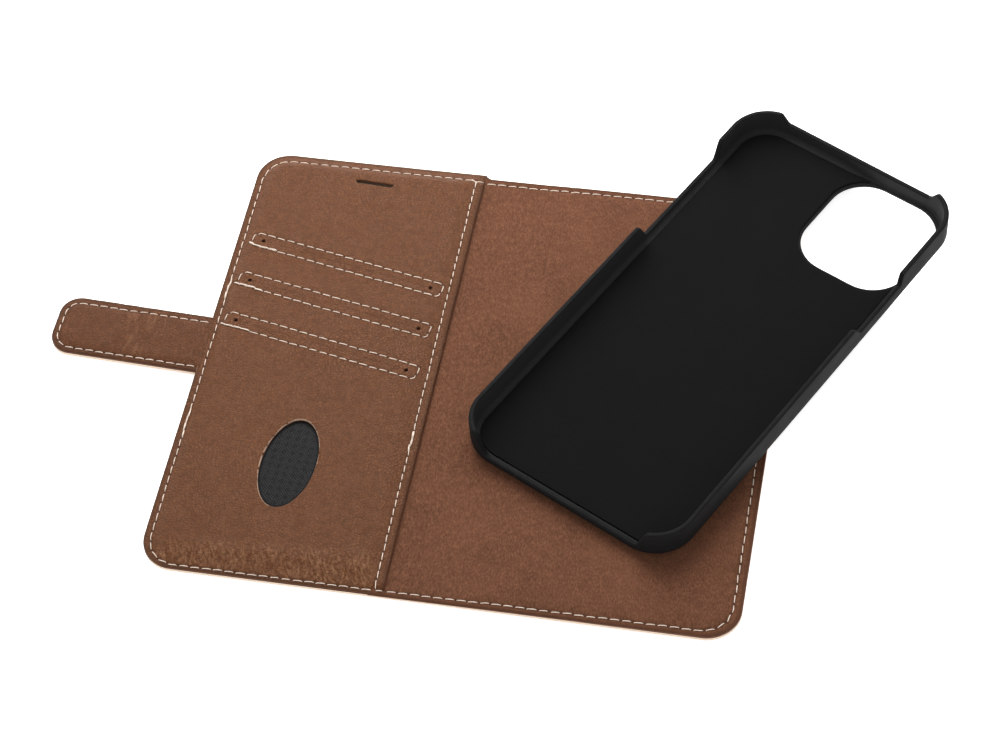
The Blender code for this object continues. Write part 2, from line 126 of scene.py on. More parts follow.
# Tray, in its own frame.
TRAY_TURN = math.radians(-27.15)
TRAY_CENTRE = (18.55, 26.78)
TRAY_HALF = (37.8, 77.25)
TRAY_HEIGHT = 9.6
TRAY_WALL = 1.6
TRAY_FLOOR = 1.2
TRAY_CORNER = 12.8
TRAY_FOOT = 2.0
TRAY_FILLET = 2.0
TRAY_LIP = 0.5
RIM_ROWS = (12, 18)
CAMERA_HOLE = (0.2, 35.1, 37.2, 74.65)
CAMERA_CORNER = 11.8
CAMERA_EDGE = 0.3


# ---- outlines


def arc(centre, radius, start, end, steps):
    angles = np.radians(np.linspace(start, end, steps + 1))
    return [(centre[0] + radius * math.cos(a), centre[1] + radius * math.sin(a)) for a in angles]


def arcs(*rows):
    return [point for row in rows for point in arc(*row)]


def rounded(x0, x1, y0, y1, left, right, steps=12):
    """A rectangle's outline, anticlockwise, with one radius for its left corners and one for its right."""
    points = []
    for x, y, radius, sx, sy, start in (
        (x1, y1, right, -1, -1, 0),
        (x0, y1, left, 1, -1, 90),
        (x0, y0, left, 1, 1, 180),
        (x1, y0, right, -1, 1, 270),
    ):
        if radius > 0:
            points += arc((x + sx * radius, y + sy * radius), radius, start, start + 90, steps)
        else:
            points.append((x, y))
    return points


def divided(points, step, closed=True):
    """The same line with a point at least every step."""
    points = np.array(points, float)
    ends = np.roll(points, -1, axis=0) if closed else points[1:]
    out = []
    for a, b in zip(points, ends):
        count = max(1, math.ceil(np.linalg.norm(b - a) / step))
        out += [a + (b - a) * i / count for i in range(count)]
    if not closed:
        out.append(points[-1])
    return np.array(out)


def turned(points, centre, angle):
    points = np.array(points, float)
    c, s = math.cos(angle), math.sin(angle)
    return points @ np.array(((c, s), (-s, c))) + np.array(centre)


def slot_centre(index):
    x0, x1, y0, y1, _, _ = span(SLOT_NODES[index])
    return (x0 + x1) / 2, (y0 + y1) / 2 - SLOT_SHIFT


def slot_ring(index):
    """The slit and the round holes punched at its ends, grown by an offset."""

    def ring(offset):
        radius, lip, half = SLOT_HOLE + offset, SLOT_LIP + offset, SLOT_LENGTH / 2
        side = math.degrees(math.asin(min(1.0, lip / radius)))
        ends = [((half, 0), radius, side - 180, 180 - side, 14)]
        ends.append(((-half, 0), radius, side, 360 - side, 14))
        points = arcs(*ends)
        return divided(turned(points, slot_centre(index), SLOT_SLOPE), 0.7)

    return ring


def slot_seam(index):
    """The seam round a slot, from its lower left corner."""
    x, y = SLOT_BAND[0] / 2, SLOT_BAND[1] / 2
    clip, near = 1.3, 0.7
    points = [(-x - 0.6, 0.6 - y), (clip - x, -y), (x - near, -y), (x, near - y), (x, y - near)]
    points += [(x - near, y), (clip - x, y), (-x, y - clip), (-x, clip - y)]
    return turned(points, slot_centre(index), SLOT_SLOPE)


def earpiece_ring(offset):
    x, y, length, width, angle = EARPIECE
    radius, half = width / 2 + offset, (length - width) / 2
    points = arcs(((half, 0), radius, -90, 90, 8), ((-half, 0), radius, 90, 270, 8))
    return divided(turned(points, (x, y), angle), 0.6)


def window_ring(offset):
    x, y, half_x, half_y, angle = WINDOW
    angles = np.linspace(0, 2 * math.pi, 96, endpoint=False)
    points = np.stack(((half_x + offset) * np.cos(angles), (half_y + offset) * np.sin(angles)), axis=1)
    return turned(points, (x, y), angle)


# ---- fields


def nearest(points, path, closed=True):
    """Each point's distance to a line of close points, and how far along the line that nearest place is."""
    tree = kdtree.KDTree(len(path))
    for i, (x, y) in enumerate(path.tolist()):
        tree.insert((x, y, 0), i)
    tree.balance()
    index = np.array([tree.find((x, y, 0))[1] for x, y in points.tolist()], int)
    count = len(path)
    steps = np.linalg.norm(np.roll(path, -1, axis=0) - path, axis=1)
    run = np.concatenate(([0.0], np.cumsum(steps)))[:-1]
    distance, place = np.full(len(points), np.inf), np.zeros(len(points))
    for side in (-1, 0):
        first = index + side
        first = first % count if closed else np.clip(first, 0, count - 2)
        start, along = path[first], path[(first + 1) % count] - path[first]
        length = np.maximum(np.linalg.norm(along, axis=1), 1e-9)
        t = np.clip(((points - start) * along).sum(axis=1) / length**2, 0, 1)
        gap = np.linalg.norm(points - start - t[:, None] * along, axis=1)
        better = gap < distance
        distance[better] = gap[better]
        place[better] = (run[first] + t * length)[better]
    return distance, place


def inside(points, loop):
    """Which points lie inside a closed line."""
    x, y = points.T
    found = np.zeros(len(points), bool)
    for (ax, ay), (bx, by) in zip(loop, np.roll(loop, -1, axis=0)):
        crosses = (ay > y) != (by > y)
        slope = (bx - ax) / (by - ay) if by != ay else 0.0
        found ^= crosses & (x < ax + (y - ay) * slope)
    return found


def within(points, loops):
    """Which points lie inside the first closed line and outside the others."""
    found = inside(points, loops[0])
    for loop in loops[1:]:
        found &= ~inside(points, loop)
    return found


def smooth(value, low, high):
    t = np.clip((value - low) / (high - low), 0, 1)
    return t * t * (3 - 2 * t)


def bell(distance, width):
    return np.exp(-((distance / width) ** 2))


def noise(x, y, size, seed):
    """Smooth noise from -1 to 1 whose bumps are about size across."""
    side, away = 97, 500
    table = np.random.default_rng(seed).uniform(-1, 1, (side, side))
    u, v = x / size + away, y / size + away
    i, j = np.floor(u).astype(int), np.floor(v).astype(int)
    fu, fv = (f * f * (3 - 2 * f) for f in (u - i, v - j))
    i, j, right, up = i % side, j % side, (i + 1) % side, (j + 1) % side
    low = table[i, j] * (1 - fu) + table[right, j] * fu
    high = table[i, up] * (1 - fu) + table[right, up] * fu
    return low * (1 - fv) + high * fv


def edge_drop(distance, radius):
    """How far a surface has rounded down at a distance from its edge."""
    t = np.clip(1 - distance / radius, 0, 1)
    return radius * (1 - np.sqrt(1 - t * t))


# ---- seams


class Seam:
    """A row of stitches: where it runs, and how the surface is drawn in along it."""

    def __init__(self, points, pitch, depth=0.22, width=0.5):
        self.path, self.depth, self.width = divided(points, 0.6, closed=False), depth, width
        steps = np.linalg.norm(np.diff(self.path, axis=0), axis=1)
        self.run = np.concatenate(([0.0], np.cumsum(steps)))
        self.count = max(1, round(self.run[-1] / pitch))
        self.pitch = self.run[-1] / self.count

    def at(self, run):
        return np.stack([np.interp(run, self.run, self.path[:, axis]) for axis in (0, 1)], axis=-1)

    def stretch(self, low, high):
        """Where along the seam its Y lies between two values, as (start, end)."""
        places = np.linspace(0, self.run[-1], 2000)
        y = self.at(places)[:, 1]
        found = places[(y > low) & (y < high)]
        return found.min(), found.max()

    def rows(self, offsets, step):
        """Points along the seam and on both sides of it."""
        end = self.run[-1]
        places = np.linspace(0, end, max(2, round(end / step)))
        along = self.at(np.minimum(places + 0.2, end)) - self.at(np.maximum(places - 0.2, 0))
        along /= np.linalg.norm(along, axis=1)[:, None]
        across = np.stack((-along[:, 1], along[:, 0]), axis=1)
        return np.concatenate([self.at(places) + across * offset for offset in offsets])

    def near(self, points):
        """Each point's distance to the seam, and how close it is to a needle hole, from 0 to 1."""
        distance, run = nearest(points, self.path, closed=False)
        return distance, 0.5 + 0.5 * np.cos(2 * math.pi * run / self.pitch)

    def dent(self, points):
        """How far the surface lies below its flat height near the seam, deepest at the needle holes."""
        distance, holes = self.near(points)
        line, pull = bell(distance, self.width), bell(distance, 2.6 * self.width)
        return self.depth * (line * (0.62 + 0.38 * holes**2) + 0.30 * pull * holes)


def three_sides(end, x, low, high, corner, steps=3):
    """The line of a seam round three sides of a sheet: it starts and stops at end, and turns at x."""
    side, first, last, start = (1, low, high, 270) if x > end else (-1, high, low, 90)
    near, then = x - side * corner, (start + 90) % 360
    bends = arcs(
        ((near, first + side * corner), corner, start, start + 90, steps),
        ((near, last - side * corner), corner, then, then + 90, steps),
    )
    return [(end, first), *bends, (end, last)]


def cover_seam(end, x, low, depth):
    """The seam round three sides of a cover."""
    points = three_sides(end, x, low - TOP_Y, TOP_Y - TOP_SEAM_INSET, SEAM_CORNER)
    return Seam(points, STITCH_PITCH, depth)


# ---- meshes


def triangulated(loops, extra):
    """(points, triangles, loops as point numbers) of the area inside the first loop and outside the rest."""
    points, edges = [], []
    for loop in loops:
        first = len(points)
        points += [tuple(p) for p in loop]
        edges += [(first + i, first + (i + 1) % len(loop)) for i in range(len(loop))]
    fixed = len(points)
    keep = within(extra, loops)
    for loop in loops:
        keep &= nearest(extra, loop)[0] > 0.05
    flat = [Vector(p) for p in (*points, *extra[keep])]
    found = geometry.delaunay_2d_cdt(flat, edges, [], 1, 1e-5, True)
    placed = np.array([tuple(v) for v in found[0]])
    faces = np.array([tuple(f) for f in found[2]])
    number = {old: new for new, olds in enumerate(found[3]) for old in olds if old < fixed}
    rings, first = [], 0
    for loop in loops:
        rings.append([number[first + i] for i in range(len(loop))])
        first += len(loop)
    return placed, faces[within(placed[faces].mean(axis=1), loops)], rings


def lattice(x0, x1, y0, y1, step, seed=1):
    """Points on a loose triangular lattice."""
    rng = np.random.default_rng(seed)
    rows = np.arange(y0, y1 + step, step * 0.87)
    out = []
    for k, y in enumerate(rows):
        xs = np.arange(x0 + (k % 2) * step / 2, x1 + step, step)
        out.append(np.stack((xs, np.full(len(xs), y)), axis=1))
    out = np.concatenate(out)
    return out + rng.uniform(-0.12, 0.12, out.shape) * step


def new_object(name, vertices, faces, materials, slots=None, sharp=38):
    """A smooth-shaded mesh object. Vertices are in millimetres."""
    mesh = bpy.data.meshes.new(name)
    mesh.from_pydata((np.array(vertices) * MM).tolist(), [], [list(map(int, f)) for f in faces])
    for material in materials:
        mesh.materials.append(material)
    if slots is not None:
        mesh.polygons.foreach_set("material_index", np.array(slots, np.int32))
    shape = bmesh.new()
    shape.from_mesh(mesh)
    bmesh.ops.recalc_face_normals(shape, faces=shape.faces)
    shape.to_mesh(mesh)
    shape.free()
    mesh.shade_smooth()
    mesh.set_sharp_from_angle(angle=math.radians(sharp))
    obj = bpy.data.objects.new(name, mesh)
    bpy.context.scene.collection.objects.link(obj)
    return obj


def slab(name, rings, extra, top, bottom, rounding, materials, wall=(), rims=()):
    """A closed sheet. rings are functions of an offset: the outline, then the holes.

    top and bottom give heights from points and their distance to the outline. rounding gives
    each ring's radius at the top, then the one radius at the bottom. materials are those of the
    top, the rims, the side wall and the bottom. wall lists (height, material number) from the top
    down, for bands of the side wall. rims are functions that give from points the width of the
    rim round each ring, which shows a cut edge, and on some edges a painted highlight where the edge catches
    the light.
    """
    loops = [ring(0.0) for ring in rings]
    rows = [ring(offset) for ring in rings for offset in EDGE_ROWS]
    points, faces, edges = triangulated(loops, np.concatenate([*rows, extra]))
    gaps = [nearest(points, loop)[0] for loop in loops]
    top_rounds, bottom_round = rounding
    drop = np.max([edge_drop(gap, radius) for gap, radius in zip(gaps, top_rounds)], axis=0)
    upper = top(points, gaps[0]) - drop
    lower = bottom(points, gaps[0]) + edge_drop(np.min(gaps, axis=0), bottom_round)
    vertices = [np.column_stack((points, upper)), np.column_stack((points, lower))]
    count = len(points)
    polygons = [*faces.tolist(), *(faces[:, ::-1] + count).tolist()]
    rim = np.zeros(len(faces), bool)
    for gap, width in zip(gaps, rims):
        rim |= (gap < width(points))[faces].all(axis=1)
    slots = [*rim.astype(int).tolist(), *[3] * len(faces)]
    total = 2 * count
    for ring in edges:
        above = ring
        for height, slot in wall:
            z = np.clip(height, lower[ring] + 0.02, upper[ring] - 0.02)
            vertices.append(np.column_stack((points[ring], z)))
            below = list(range(total, total + len(ring)))
            total += len(ring)
            polygons += strip(above, below)
            slots += [slot] * len(ring)
            above = below
        polygons += strip(above, [i + count for i in ring])
        slots += [2] * len(ring)
    return new_object(name, np.concatenate(vertices), polygons, materials, slots)


def strip(above, below):
    """The faces between two closed rows of as many points."""
    return list(zip(above, below, below[1:] + below[:1], above[1:] + above[:1]))


def settle(obj, body, slot, *nodes):
    """Hangs a rigid piece on the body it rides on and hides the nodes it stands for; slot is not used."""
    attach(obj, body)
    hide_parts(*nodes)


def split(obj, x, keep_left, name):
    """A copy of obj that ends at a plane across X, closed there."""
    mesh = obj.data.copy()
    shape = bmesh.new()
    shape.from_mesh(mesh)
    every = [*shape.verts, *shape.edges, *shape.faces]
    plane = {"plane_co": (x * MM, 0, 0), "plane_no": (1 if keep_left else -1, 0, 0)}
    cut = bmesh.ops.bisect_plane(shape, geom=every, clear_outer=True, **plane)
    rim = [e for e in cut["geom_cut"] if isinstance(e, bmesh.types.BMEdge)]
    bmesh.ops.edgeloop_fill(shape, edges=[e for e in rim if e.is_boundary])
    shape.to_mesh(mesh)
    shape.free()
    mesh.set_sharp_from_angle(angle=math.radians(38))
    made = bpy.data.objects.new(name, mesh)
    bpy.context.scene.collection.objects.link(made)
    return made


def parted(whole, x, slot, *pieces):
    """Splits a sheet into a left and a right piece at a plane across X.

    A piece is (fold, name, replaced nodes...), and a fold is (body, next body, start, end), where
    start and end are the places in X between which the sheet turns; the fold is not used.
    """
    for keep_left, ((first, then, start, end), name, *nodes) in zip((True, False), pieces):
        piece = split(whole, x, keep_left, name)
        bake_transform(piece)
        if nodes:
            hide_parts(*nodes)
    bpy.data.objects.remove(whole)


def stitches(name, seams, height, up=1, thickness=0.14, backtacks=()):
    """Every stitch of some seams, each a short twisted cord that dips into the surface at its ends.

    backtacks are (seam, start, end) stretches, sewn twice.
    """
    rng = np.random.default_rng(len(name))
    rows = [(seam, (k + 0.5) * seam.pitch, 0.0, 1.0) for seam in seams for k in range(seam.count)]
    for seam, start, end in backtacks:
        runs = np.arange(start, end, seam.pitch * 0.8)
        rows += [(seam, run, rng.choice((-1, 1)) * 0.17, 1.5) for run in runs]
    vertices, faces = [], []
    sides, rings = 8, 9
    t = np.linspace(-1, 1, rings)
    angle = 2 * math.pi * np.arange(sides) / sides
    for seam, run, aside, grown in rows:
        half = seam.pitch * 0.45 * rng.uniform(0.88, 1.05)
        run = run + rng.uniform(-0.06, 0.06)
        line = seam.at(np.clip(run + t * half, 0, seam.run[-1]))
        along = line[-1] - line[0]
        along /= np.linalg.norm(along)
        across = np.array((-along[1], along[0]))
        line = line + across * (aside + rng.uniform(-0.09, 0.09) + 0.11 * t[:, None] * rng.uniform(0.3, 1))
        lift = 0.13 + 0.12 * (grown > 1)
        z = height(line) + up * (lift - 0.34 * np.abs(t) ** 8)
        ply = 1 + 0.10 * np.cos(2 * angle - 3.6 * t[:, None] * half)
        radius = (grown * thickness * (1 - 0.35 * np.abs(t) ** 8))[:, None] * ply
        places = line[:, None] + across * (radius * np.cos(angle))[..., None]
        first = len(vertices)
        vertices += np.dstack((places, z[:, None] + radius * 0.85 * np.sin(angle))).reshape(-1, 3).tolist()
        hoops = [list(range(k, k + sides)) for k in range(first, len(vertices), sides)]
        for one, other in zip(hoops, hoops[1:]):
            faces += strip(one, other)
        faces += [hoops[0], hoops[-1][::-1]]
    return new_object(name, vertices, faces, [THREAD], sharp=70)


# ---- materials


def shader(name, colour, roughness, **inputs):
    """A material, and its nodes, links and Principled shader."""
    material = bpy.data.materials.new(name)
    material.use_nodes = True
    tree = material.node_tree
    principled = tree.nodes["Principled BSDF"]
    principled.inputs["Base Color"].default_value = (*colour, 1)
    principled.inputs["Roughness"].default_value = roughness
    for key, value in inputs.items():
        principled.inputs[key.replace("_", " ")].default_value = value
    material.diffuse_color = (*colour, 1)
    return material, tree, principled


def add(tree, kind, values=(), links=(), **settings):
    """A node with its settings, plain input values and links to its inputs."""
    node = tree.nodes.new("ShaderNode" + kind)
    for key, value in settings.items():
        setattr(node, key, value)
    for key, value in dict(values).items():
        node.inputs[key].default_value = value
    for key, source in dict(links).items():
        tree.links.new(source, node.inputs[key])
    return node


def place_in(tree):
    return add(tree, "TexCoord").outputs["Object"]


def scaled(colour, *factors):
    """A colour made darker or lighter, by one factor or by one for each channel."""
    return tuple(min(1, c * f) for c, f in zip(colour, factors * 3))


def noise_node(tree, where, scale, detail=3.0, roughness=0.55):
    values = {"Scale": scale, "Detail": detail, "Roughness": roughness}
    return add(tree, "TexNoise", values, {"Vector": where}).outputs["Fac"]


def ramp(tree, source, stops):
    """A colour ramp with (place, colour) stops."""
    node = add(tree, "ValToRGB", links={"Fac": source})
    elements = node.color_ramp.elements
    while len(elements) < len(stops):
        elements.new(0.5)
    for element, (place, colour) in zip(elements, stops):
        element.position = place
        element.color = (*colour, 1)
    return node.outputs["Color"]


def maths(tree, operation, a, b):
    node = add(tree, "Math", operation=operation)
    for socket, value in zip(node.inputs, (a, b)):
        if isinstance(value, (int, float)):
            socket.default_value = value
        else:
            tree.links.new(value, socket)
    return node.outputs[0]


def mixed(tree, factor, tone, colour):
    node = add(tree, "Mix", {7: (*colour, 1)}, {0: factor, 6: tone}, data_type="RGBA")
    return node.outputs[2]


def greys(tree, source, *stops):
    """A ramp of greys, with (place, brightness) stops."""
    return ramp(tree, source, [(place, (value,) * 3) for place, value in stops])


def shades(tree, source, colour, *stops):
    """A ramp of one colour, with (place, factor) stops."""
    return ramp(tree, source, [(place, scaled(colour, factor)) for place, factor in stops])


def tinted(tree, tone, colour, source, *stops):
    """The tone mixed with a colour, with (place, share) stops on the source."""
    return mixed(tree, greys(tree, source, *stops), tone, colour)


def with_painted_light_and_shade(tree, tone, colour):
    """The tone with painted light and shade: a pale pinkish painted highlight where the stored value is
    positive, and painted shade where it is negative.
    """
    painted_light_shade = add(tree, "Attribute", attribute_name=PAINTED_LIGHT_ATTRIBUTE).outputs["Fac"]
    tone = mixed(tree, painted_light_shade, tone, scaled(colour, 1.75, 2.3, 3.2))
    return mixed(tree, maths(tree, "MULTIPLY", painted_light_shade, -1.0), tone, scaled(colour, 0.55))


def coat(tree, principled, tone, height, distance, strength):
    """Gives a shader its colour and its relief."""
    tree.links.new(tone, principled.inputs["Base Color"])
    node = add(tree, "Bump", {"Strength": strength, "Distance": distance}, {"Height": height})
    tree.links.new(node.outputs["Normal"], principled.inputs["Normal"])


# The vertex attribute that holds a sheet's painted light and shade.
PAINTED_LIGHT_ATTRIBUTE = "painted_light_shade"


def paint_light_and_shade(obj, field):
    """Stores a number at each vertex for painted light and shade: the sheet is painted paler where it is
    high, and darker where it is low.
    """
    places = np.zeros(len(obj.data.vertices) * 3, np.float32)
    obj.data.vertices.foreach_get("co", places)
    values = field(places.reshape(-1, 3)[:, :2].astype(float) / MM).astype(np.float32)
    obj.data.attributes.new(PAINTED_LIGHT_ATTRIBUTE, "FLOAT", "POINT").data.foreach_set("value", values)


def edge_and_seam_painted_shade(points, ring, seams):
    """Painted shade: darker along a sheet's rounded edge, where it turns away from the light, and in the
    grooves and needle holes of its seams.
    """
    value = -0.75 * (1 - smooth(nearest(points, ring(0.0))[0], 0.5, 1.5))
    for seam in seams:
        distance, holes = seam.near(points)
        value = value - bell(distance, 0.45) * (0.3 + 0.85 * holes**2)
    return value


def leather(name, colour, grain=1.0):
    """Waxed leather with a fine pebble grain, darker in its creases and patchy in its gloss."""
    roughness = 0.5
    material, tree, principled = shader(name, colour, roughness, Specular_IOR_Level=0.16)
    where = place_in(tree)
    wobble = add(tree, "TexNoise", {"Scale": 900, "Detail": 2}, {"Vector": where}).outputs["Color"]
    aside = add(tree, "VectorMath", {1: (0.0006,) * 3}, {0: wobble}, operation="MULTIPLY").outputs[0]
    bent = add(tree, "VectorMath", links={0: where, 1: aside}, operation="ADD").outputs[0]
    cells = add(tree, "TexVoronoi", {"Scale": 1150}, {"Vector": bent}, feature="DISTANCE_TO_EDGE")
    cells = cells.outputs["Distance"]
    crease = greys(tree, cells, (0.0, 0.0), (0.14, 0.75), (0.5, 1.0))
    fine = noise_node(tree, where, 3200, 3)
    broad = noise_node(tree, where, 42, 3)
    blotch = noise_node(tree, where, 210, 4, 0.6)
    mottle = noise_node(tree, where, 620, 3, 0.6)
    dark, light = scaled(colour, 0.58), scaled(colour, 1.34)
    tone = shades(tree, broad, colour, (0.3, 0.96), (0.7, 1.04))
    tone = tinted(tree, tone, light, blotch, (0.4, 0.0), (0.75, 0.16))
    tone = tinted(tree, tone, dark, mottle, (0.38, 0.38), (0.5, 0.0))
    tone = tinted(tree, tone, light, mottle, (0.5, 0.0), (0.64, 0.38))
    tone = tinted(tree, tone, dark, cells, (0.0, 0.62), (0.22, 0.0))
    tone = tinted(tree, tone, scaled(colour, 0.6), fine, (0.30, 0.6), (0.42, 0.0))
    rough = greys(tree, blotch, (0.3, roughness + 0.08), (0.7, roughness - 0.07))
    tree.links.new(rough, principled.inputs["Roughness"])
    height = maths(tree, "ADD", maths(tree, "MULTIPLY", crease, 0.6), maths(tree, "MULTIPLY", fine, 0.5))
    # The colour takes the painted light and shade stored on the sheet.
    coat(tree, principled, with_painted_light_and_shade(tree, tone, colour), height, 0.00030 * grain, 1.0)
    return material


def suede(name, colour):
    """Microfibre with a short nap, mottled where the nap lies in different directions."""
    sheen = {"Sheen_Weight": 0.25, "Sheen_Roughness": 0.5, "Sheen_Tint": (*scaled(colour, 2.4), 1)}
    material, tree, principled = shader(name, colour, 0.95, Specular_IOR_Level=0.12, **sheen)
    where = place_in(tree)
    lay = {"Scale": (1.0, 0.45, 1.0), "Rotation": (0, 0, 0.5)}
    stretch = add(tree, "Mapping", lay, {"Vector": where})
    fibre = noise_node(tree, stretch.outputs[0], 2300, 4, 0.75)
    mottle = noise_node(tree, where, 520, 4, 0.65)
    nap = noise_node(tree, where, 60, 3)
    tone = shades(tree, fibre, colour, (0.36, 0.58), (0.64, 1.48))
    tone = tinted(tree, tone, scaled(colour, 0.58), mottle, (0.35, 0.5), (0.62, 0.0))
    tone = tinted(tree, tone, scaled(colour, 1.48), nap, (0.4, 0.0), (0.75, 0.3))
    height = maths(tree, "ADD", maths(tree, "MULTIPLY", fibre, 0.7), mottle)
    # The colour takes the painted shade stored on the lining.
    coat(tree, principled, with_painted_light_and_shade(tree, tone, colour), height, 0.00016, 0.9)
    return material


def textured(
    name, colour, roughness, grain, tones, relief, stretch=(1, 1, 1), patch=None, gloss=None, **inputs
):
    """A material with one fine grain in its tone and its relief.

    grain is (scale, detail, roughness) of that noise, stretched in space by stretch; tones are
    (place, factor) stops on the colour, and relief is (distance, strength). patch is (broad grain,
    share stops, factor) for a second tone, and gloss is (broad grain, steps) for a rough ramp.
    """
    material, tree, principled = shader(name, colour, roughness, **inputs)
    where = place_in(tree)
    stretched = add(tree, "Mapping", {"Scale": stretch}, {"Vector": where})
    fine = noise_node(tree, stretched.outputs[0], *grain)
    tone = shades(tree, fine, colour, *tones)
    if patch:
        broad, stops, factor = patch
        tone = tinted(tree, tone, scaled(colour, factor), noise_node(tree, where, *broad), *stops)
    if gloss:
        broad, steps = gloss
        stops = [(place, roughness + step) for place, step in zip((0.3, 0.7), steps)]
        rough = greys(tree, noise_node(tree, where, *broad), *stops)
        tree.links.new(rough, principled.inputs["Roughness"])
    coat(tree, principled, tone, fine, *relief)
    return material


# The cut edge of leather or board, with short fibres along it.
FIBRES = {
    "grain": (1800, 4, 0.7), "tones": ((0.3, 0.74), (0.7, 1.15)), "relief": (0.00012, 0.7),
    "stretch": (1, 1, 3.5), "Specular_IOR_Level": 0.2,
}
# Waxed sewing thread.
CORD = {
    "grain": (4200, 3, 0.7), "tones": ((0.28, 0.72), (0.6, 1.0)), "relief": (0.00005, 0.6),
    "patch": ((160, 2), ((0.45, 0.0), (0.75, 0.35)), 0.8), "Specular_IOR_Level": 0.3,
}
# Moulded plastic with a very fine spark texture.
PLASTIC = {
    "grain": (3600, 4, 0.65), "tones": ((0.3, 0.85), (0.7, 1.18)), "relief": (0.00003, 0.7),
    "gloss": ((90, 4, 0.6), (-0.05, 0.06)), "Specular_IOR_Level": 0.11,
}
# Short flocked lining.
FELT = {
    "grain": (4300, 4, 0.75), "tones": ((0.3, 0.72), (0.7, 1.3)), "relief": (0.00008, 0.7),
    "patch": ((75, 4, 0.6), ((0.4, 0.0), (0.8, 0.4)), 1.4), "Specular_IOR_Level": 0.1,
}
# Rolled metal.
METAL = {
    "grain": (900, 3), "tones": ((0.3, 0.85), (0.7, 1.0)), "relief": (0.00002, 0.5),
    "stretch": (1, 14, 1), "Metallic": 1.0,
}
# Black polyester mesh.
MESH = {
    "grain": (2600, 3), "tones": ((0.3, 0.0065 / 0.009), (0.7, 0.013 / 0.009)), "relief": (0.00004, 0.5),
    "Specular_IOR_Level": 0.14,
}


TAN_LEATHER = leather("inner_leather", (0.1375, 0.0492, 0.0171))
OUTER_LEATHER = leather("outer_leather", (0.130, 0.0467, 0.0167), grain=1.2)
STRAP_LEATHER = leather("strap_leather", (0.1215, 0.0412, 0.0137))
EDGE_PAINT = textured("painted_edge", (0.115, 0.052, 0.032), 0.6, **FIBRES)
RAW_TAN = textured("raw_edge", (0.74, 0.58, 0.45), 0.85, **FIBRES)
# The cut edge's colour, which also paints highlights along some edges.
CUT_EDGE_AND_HIGHLIGHT = textured("cut_edge_and_highlight", (0.44, 0.30, 0.215), 0.85, **FIBRES)
SUEDE = suede("lining_suede", (0.1245, 0.0518, 0.0279))
THREAD = textured("thread", (0.80, 0.67, 0.56), 0.62, **CORD)
POCKET_CLOTH = textured("pocket_cloth", (0.033, 0.031, 0.030), 0.96, **FELT)
POCKET_BACK = textured("pocket_back", (0.20, 0.105, 0.055), 0.85, **FIBRES)
BOARD = textured("fibre_board", (0.30, 0.24, 0.17), 0.85, **FIBRES)
# The tray's rim tops are a darker copy of its plastic, painted shade, and its inner walls and fillet a
# lighter copy, painted light.
TRAY_PLASTIC = textured("tray_plastic", (0.0078, 0.0078, 0.0081), 0.7, **PLASTIC)
TRAY_RIM_PAINTED_SHADE = textured("tray_rim_painted_shade", (0.0036, 0.0037, 0.0038), 0.7, **PLASTIC)
TRAY_INSIDE_PAINTED_LIGHT = textured("tray_inside_painted_light", (0.0185, 0.0185, 0.0188), 0.7, **PLASTIC)
TRAY_FELT = textured("tray_felt", (0.0041, 0.0041, 0.0043), 0.96, **FELT)
STEEL = textured("steel", (0.55, 0.55, 0.56), 0.35, **METAL)
MAGNET = textured("magnet", (0.42, 0.42, 0.44), 0.4, **METAL)
OUTER_MATERIALS = [OUTER_LEATHER, EDGE_PAINT, RAW_TAN, OUTER_LEATHER]


# ---- covers


def offsets_round(seam):
    return seam.rows((-1.1, -0.7, -0.42, -0.2, 0.0, 0.2, 0.42, 0.7, 1.1), 0.55)


def inner_ring(offset):
    x0, x1 = INNER[0] - LEFT_GROWTH + offset, INNER[1] - offset
    low, high = offset - TOP_Y - TURNED_LOW, TOP_Y + TURNED_TOP - offset
    return divided(rounded(x0, x1, low, high, CORNER - offset, 0), 0.8)


INNER_SEAM = cover_seam(INNER[1], INNER[0] + SEAM_INSET, FRONT_LOW_INSET, 0.26)
SPINE_SIDE_SEAM = Seam([(INNER[1] - SPINE_SEAM_INSET, y) for y in (-TOP_Y + 1.6, TOP_Y - 2.4)], 3.07, 0.24)
SLOT_SEAMS = [Seam(slot_seam(index), 3.25, 0.10, 0.34) for index in range(3)]
INNER_SEAMS = (INNER_SEAM, SPINE_SIDE_SEAM, *SLOT_SEAMS)


def placed(points, distance, ring):
    """The points' X and Y, and their distance to a ring, which is worked out if it isn't given."""
    return *points.T, (nearest(points, ring(0.0))[0] if distance is None else distance)


def inner_height(points, distance=None):
    """The inner leather's surface: a shallow pillow, drawn in by its seams and puckered along its foot."""
    x, y, distance = placed(points, distance, inner_ring)
    side = EDGE_TOP + 1.1 * smooth(x, INNER[1] - 5, INNER[1] - 2) * smooth(TOP_Y - np.abs(y), 1, 4)
    z = side + (INNER[5] - side) * smooth(distance, 0.3, 6.5 + 3.0 * smooth(-y, 60, 72))
    z = z + 0.10 * noise(x, y, 26, 3) + 0.05 * noise(x, y, 9, 4) * smooth(distance, 0.5, 5)
    for seam in INNER_SEAMS:
        z = z - seam.dent(points)
    c, s = math.cos(SLOT_SLOPE), math.sin(SLOT_SLOPE)
    for index in range(3):
        cx, cy = slot_centre(index)
        u, v = (x - cx) * c + (y - cy) * s, (y - cy) * c - (x - cx) * s
        z = z + 0.02 * smooth(SLOT_LENGTH / 2 + 1.0 - np.abs(u), 0, 1.2) * bell(v - 0.9, 0.8)
    foot, ripple = foot_wrinkles(x, y)
    return z + 0.10 * foot * ripple


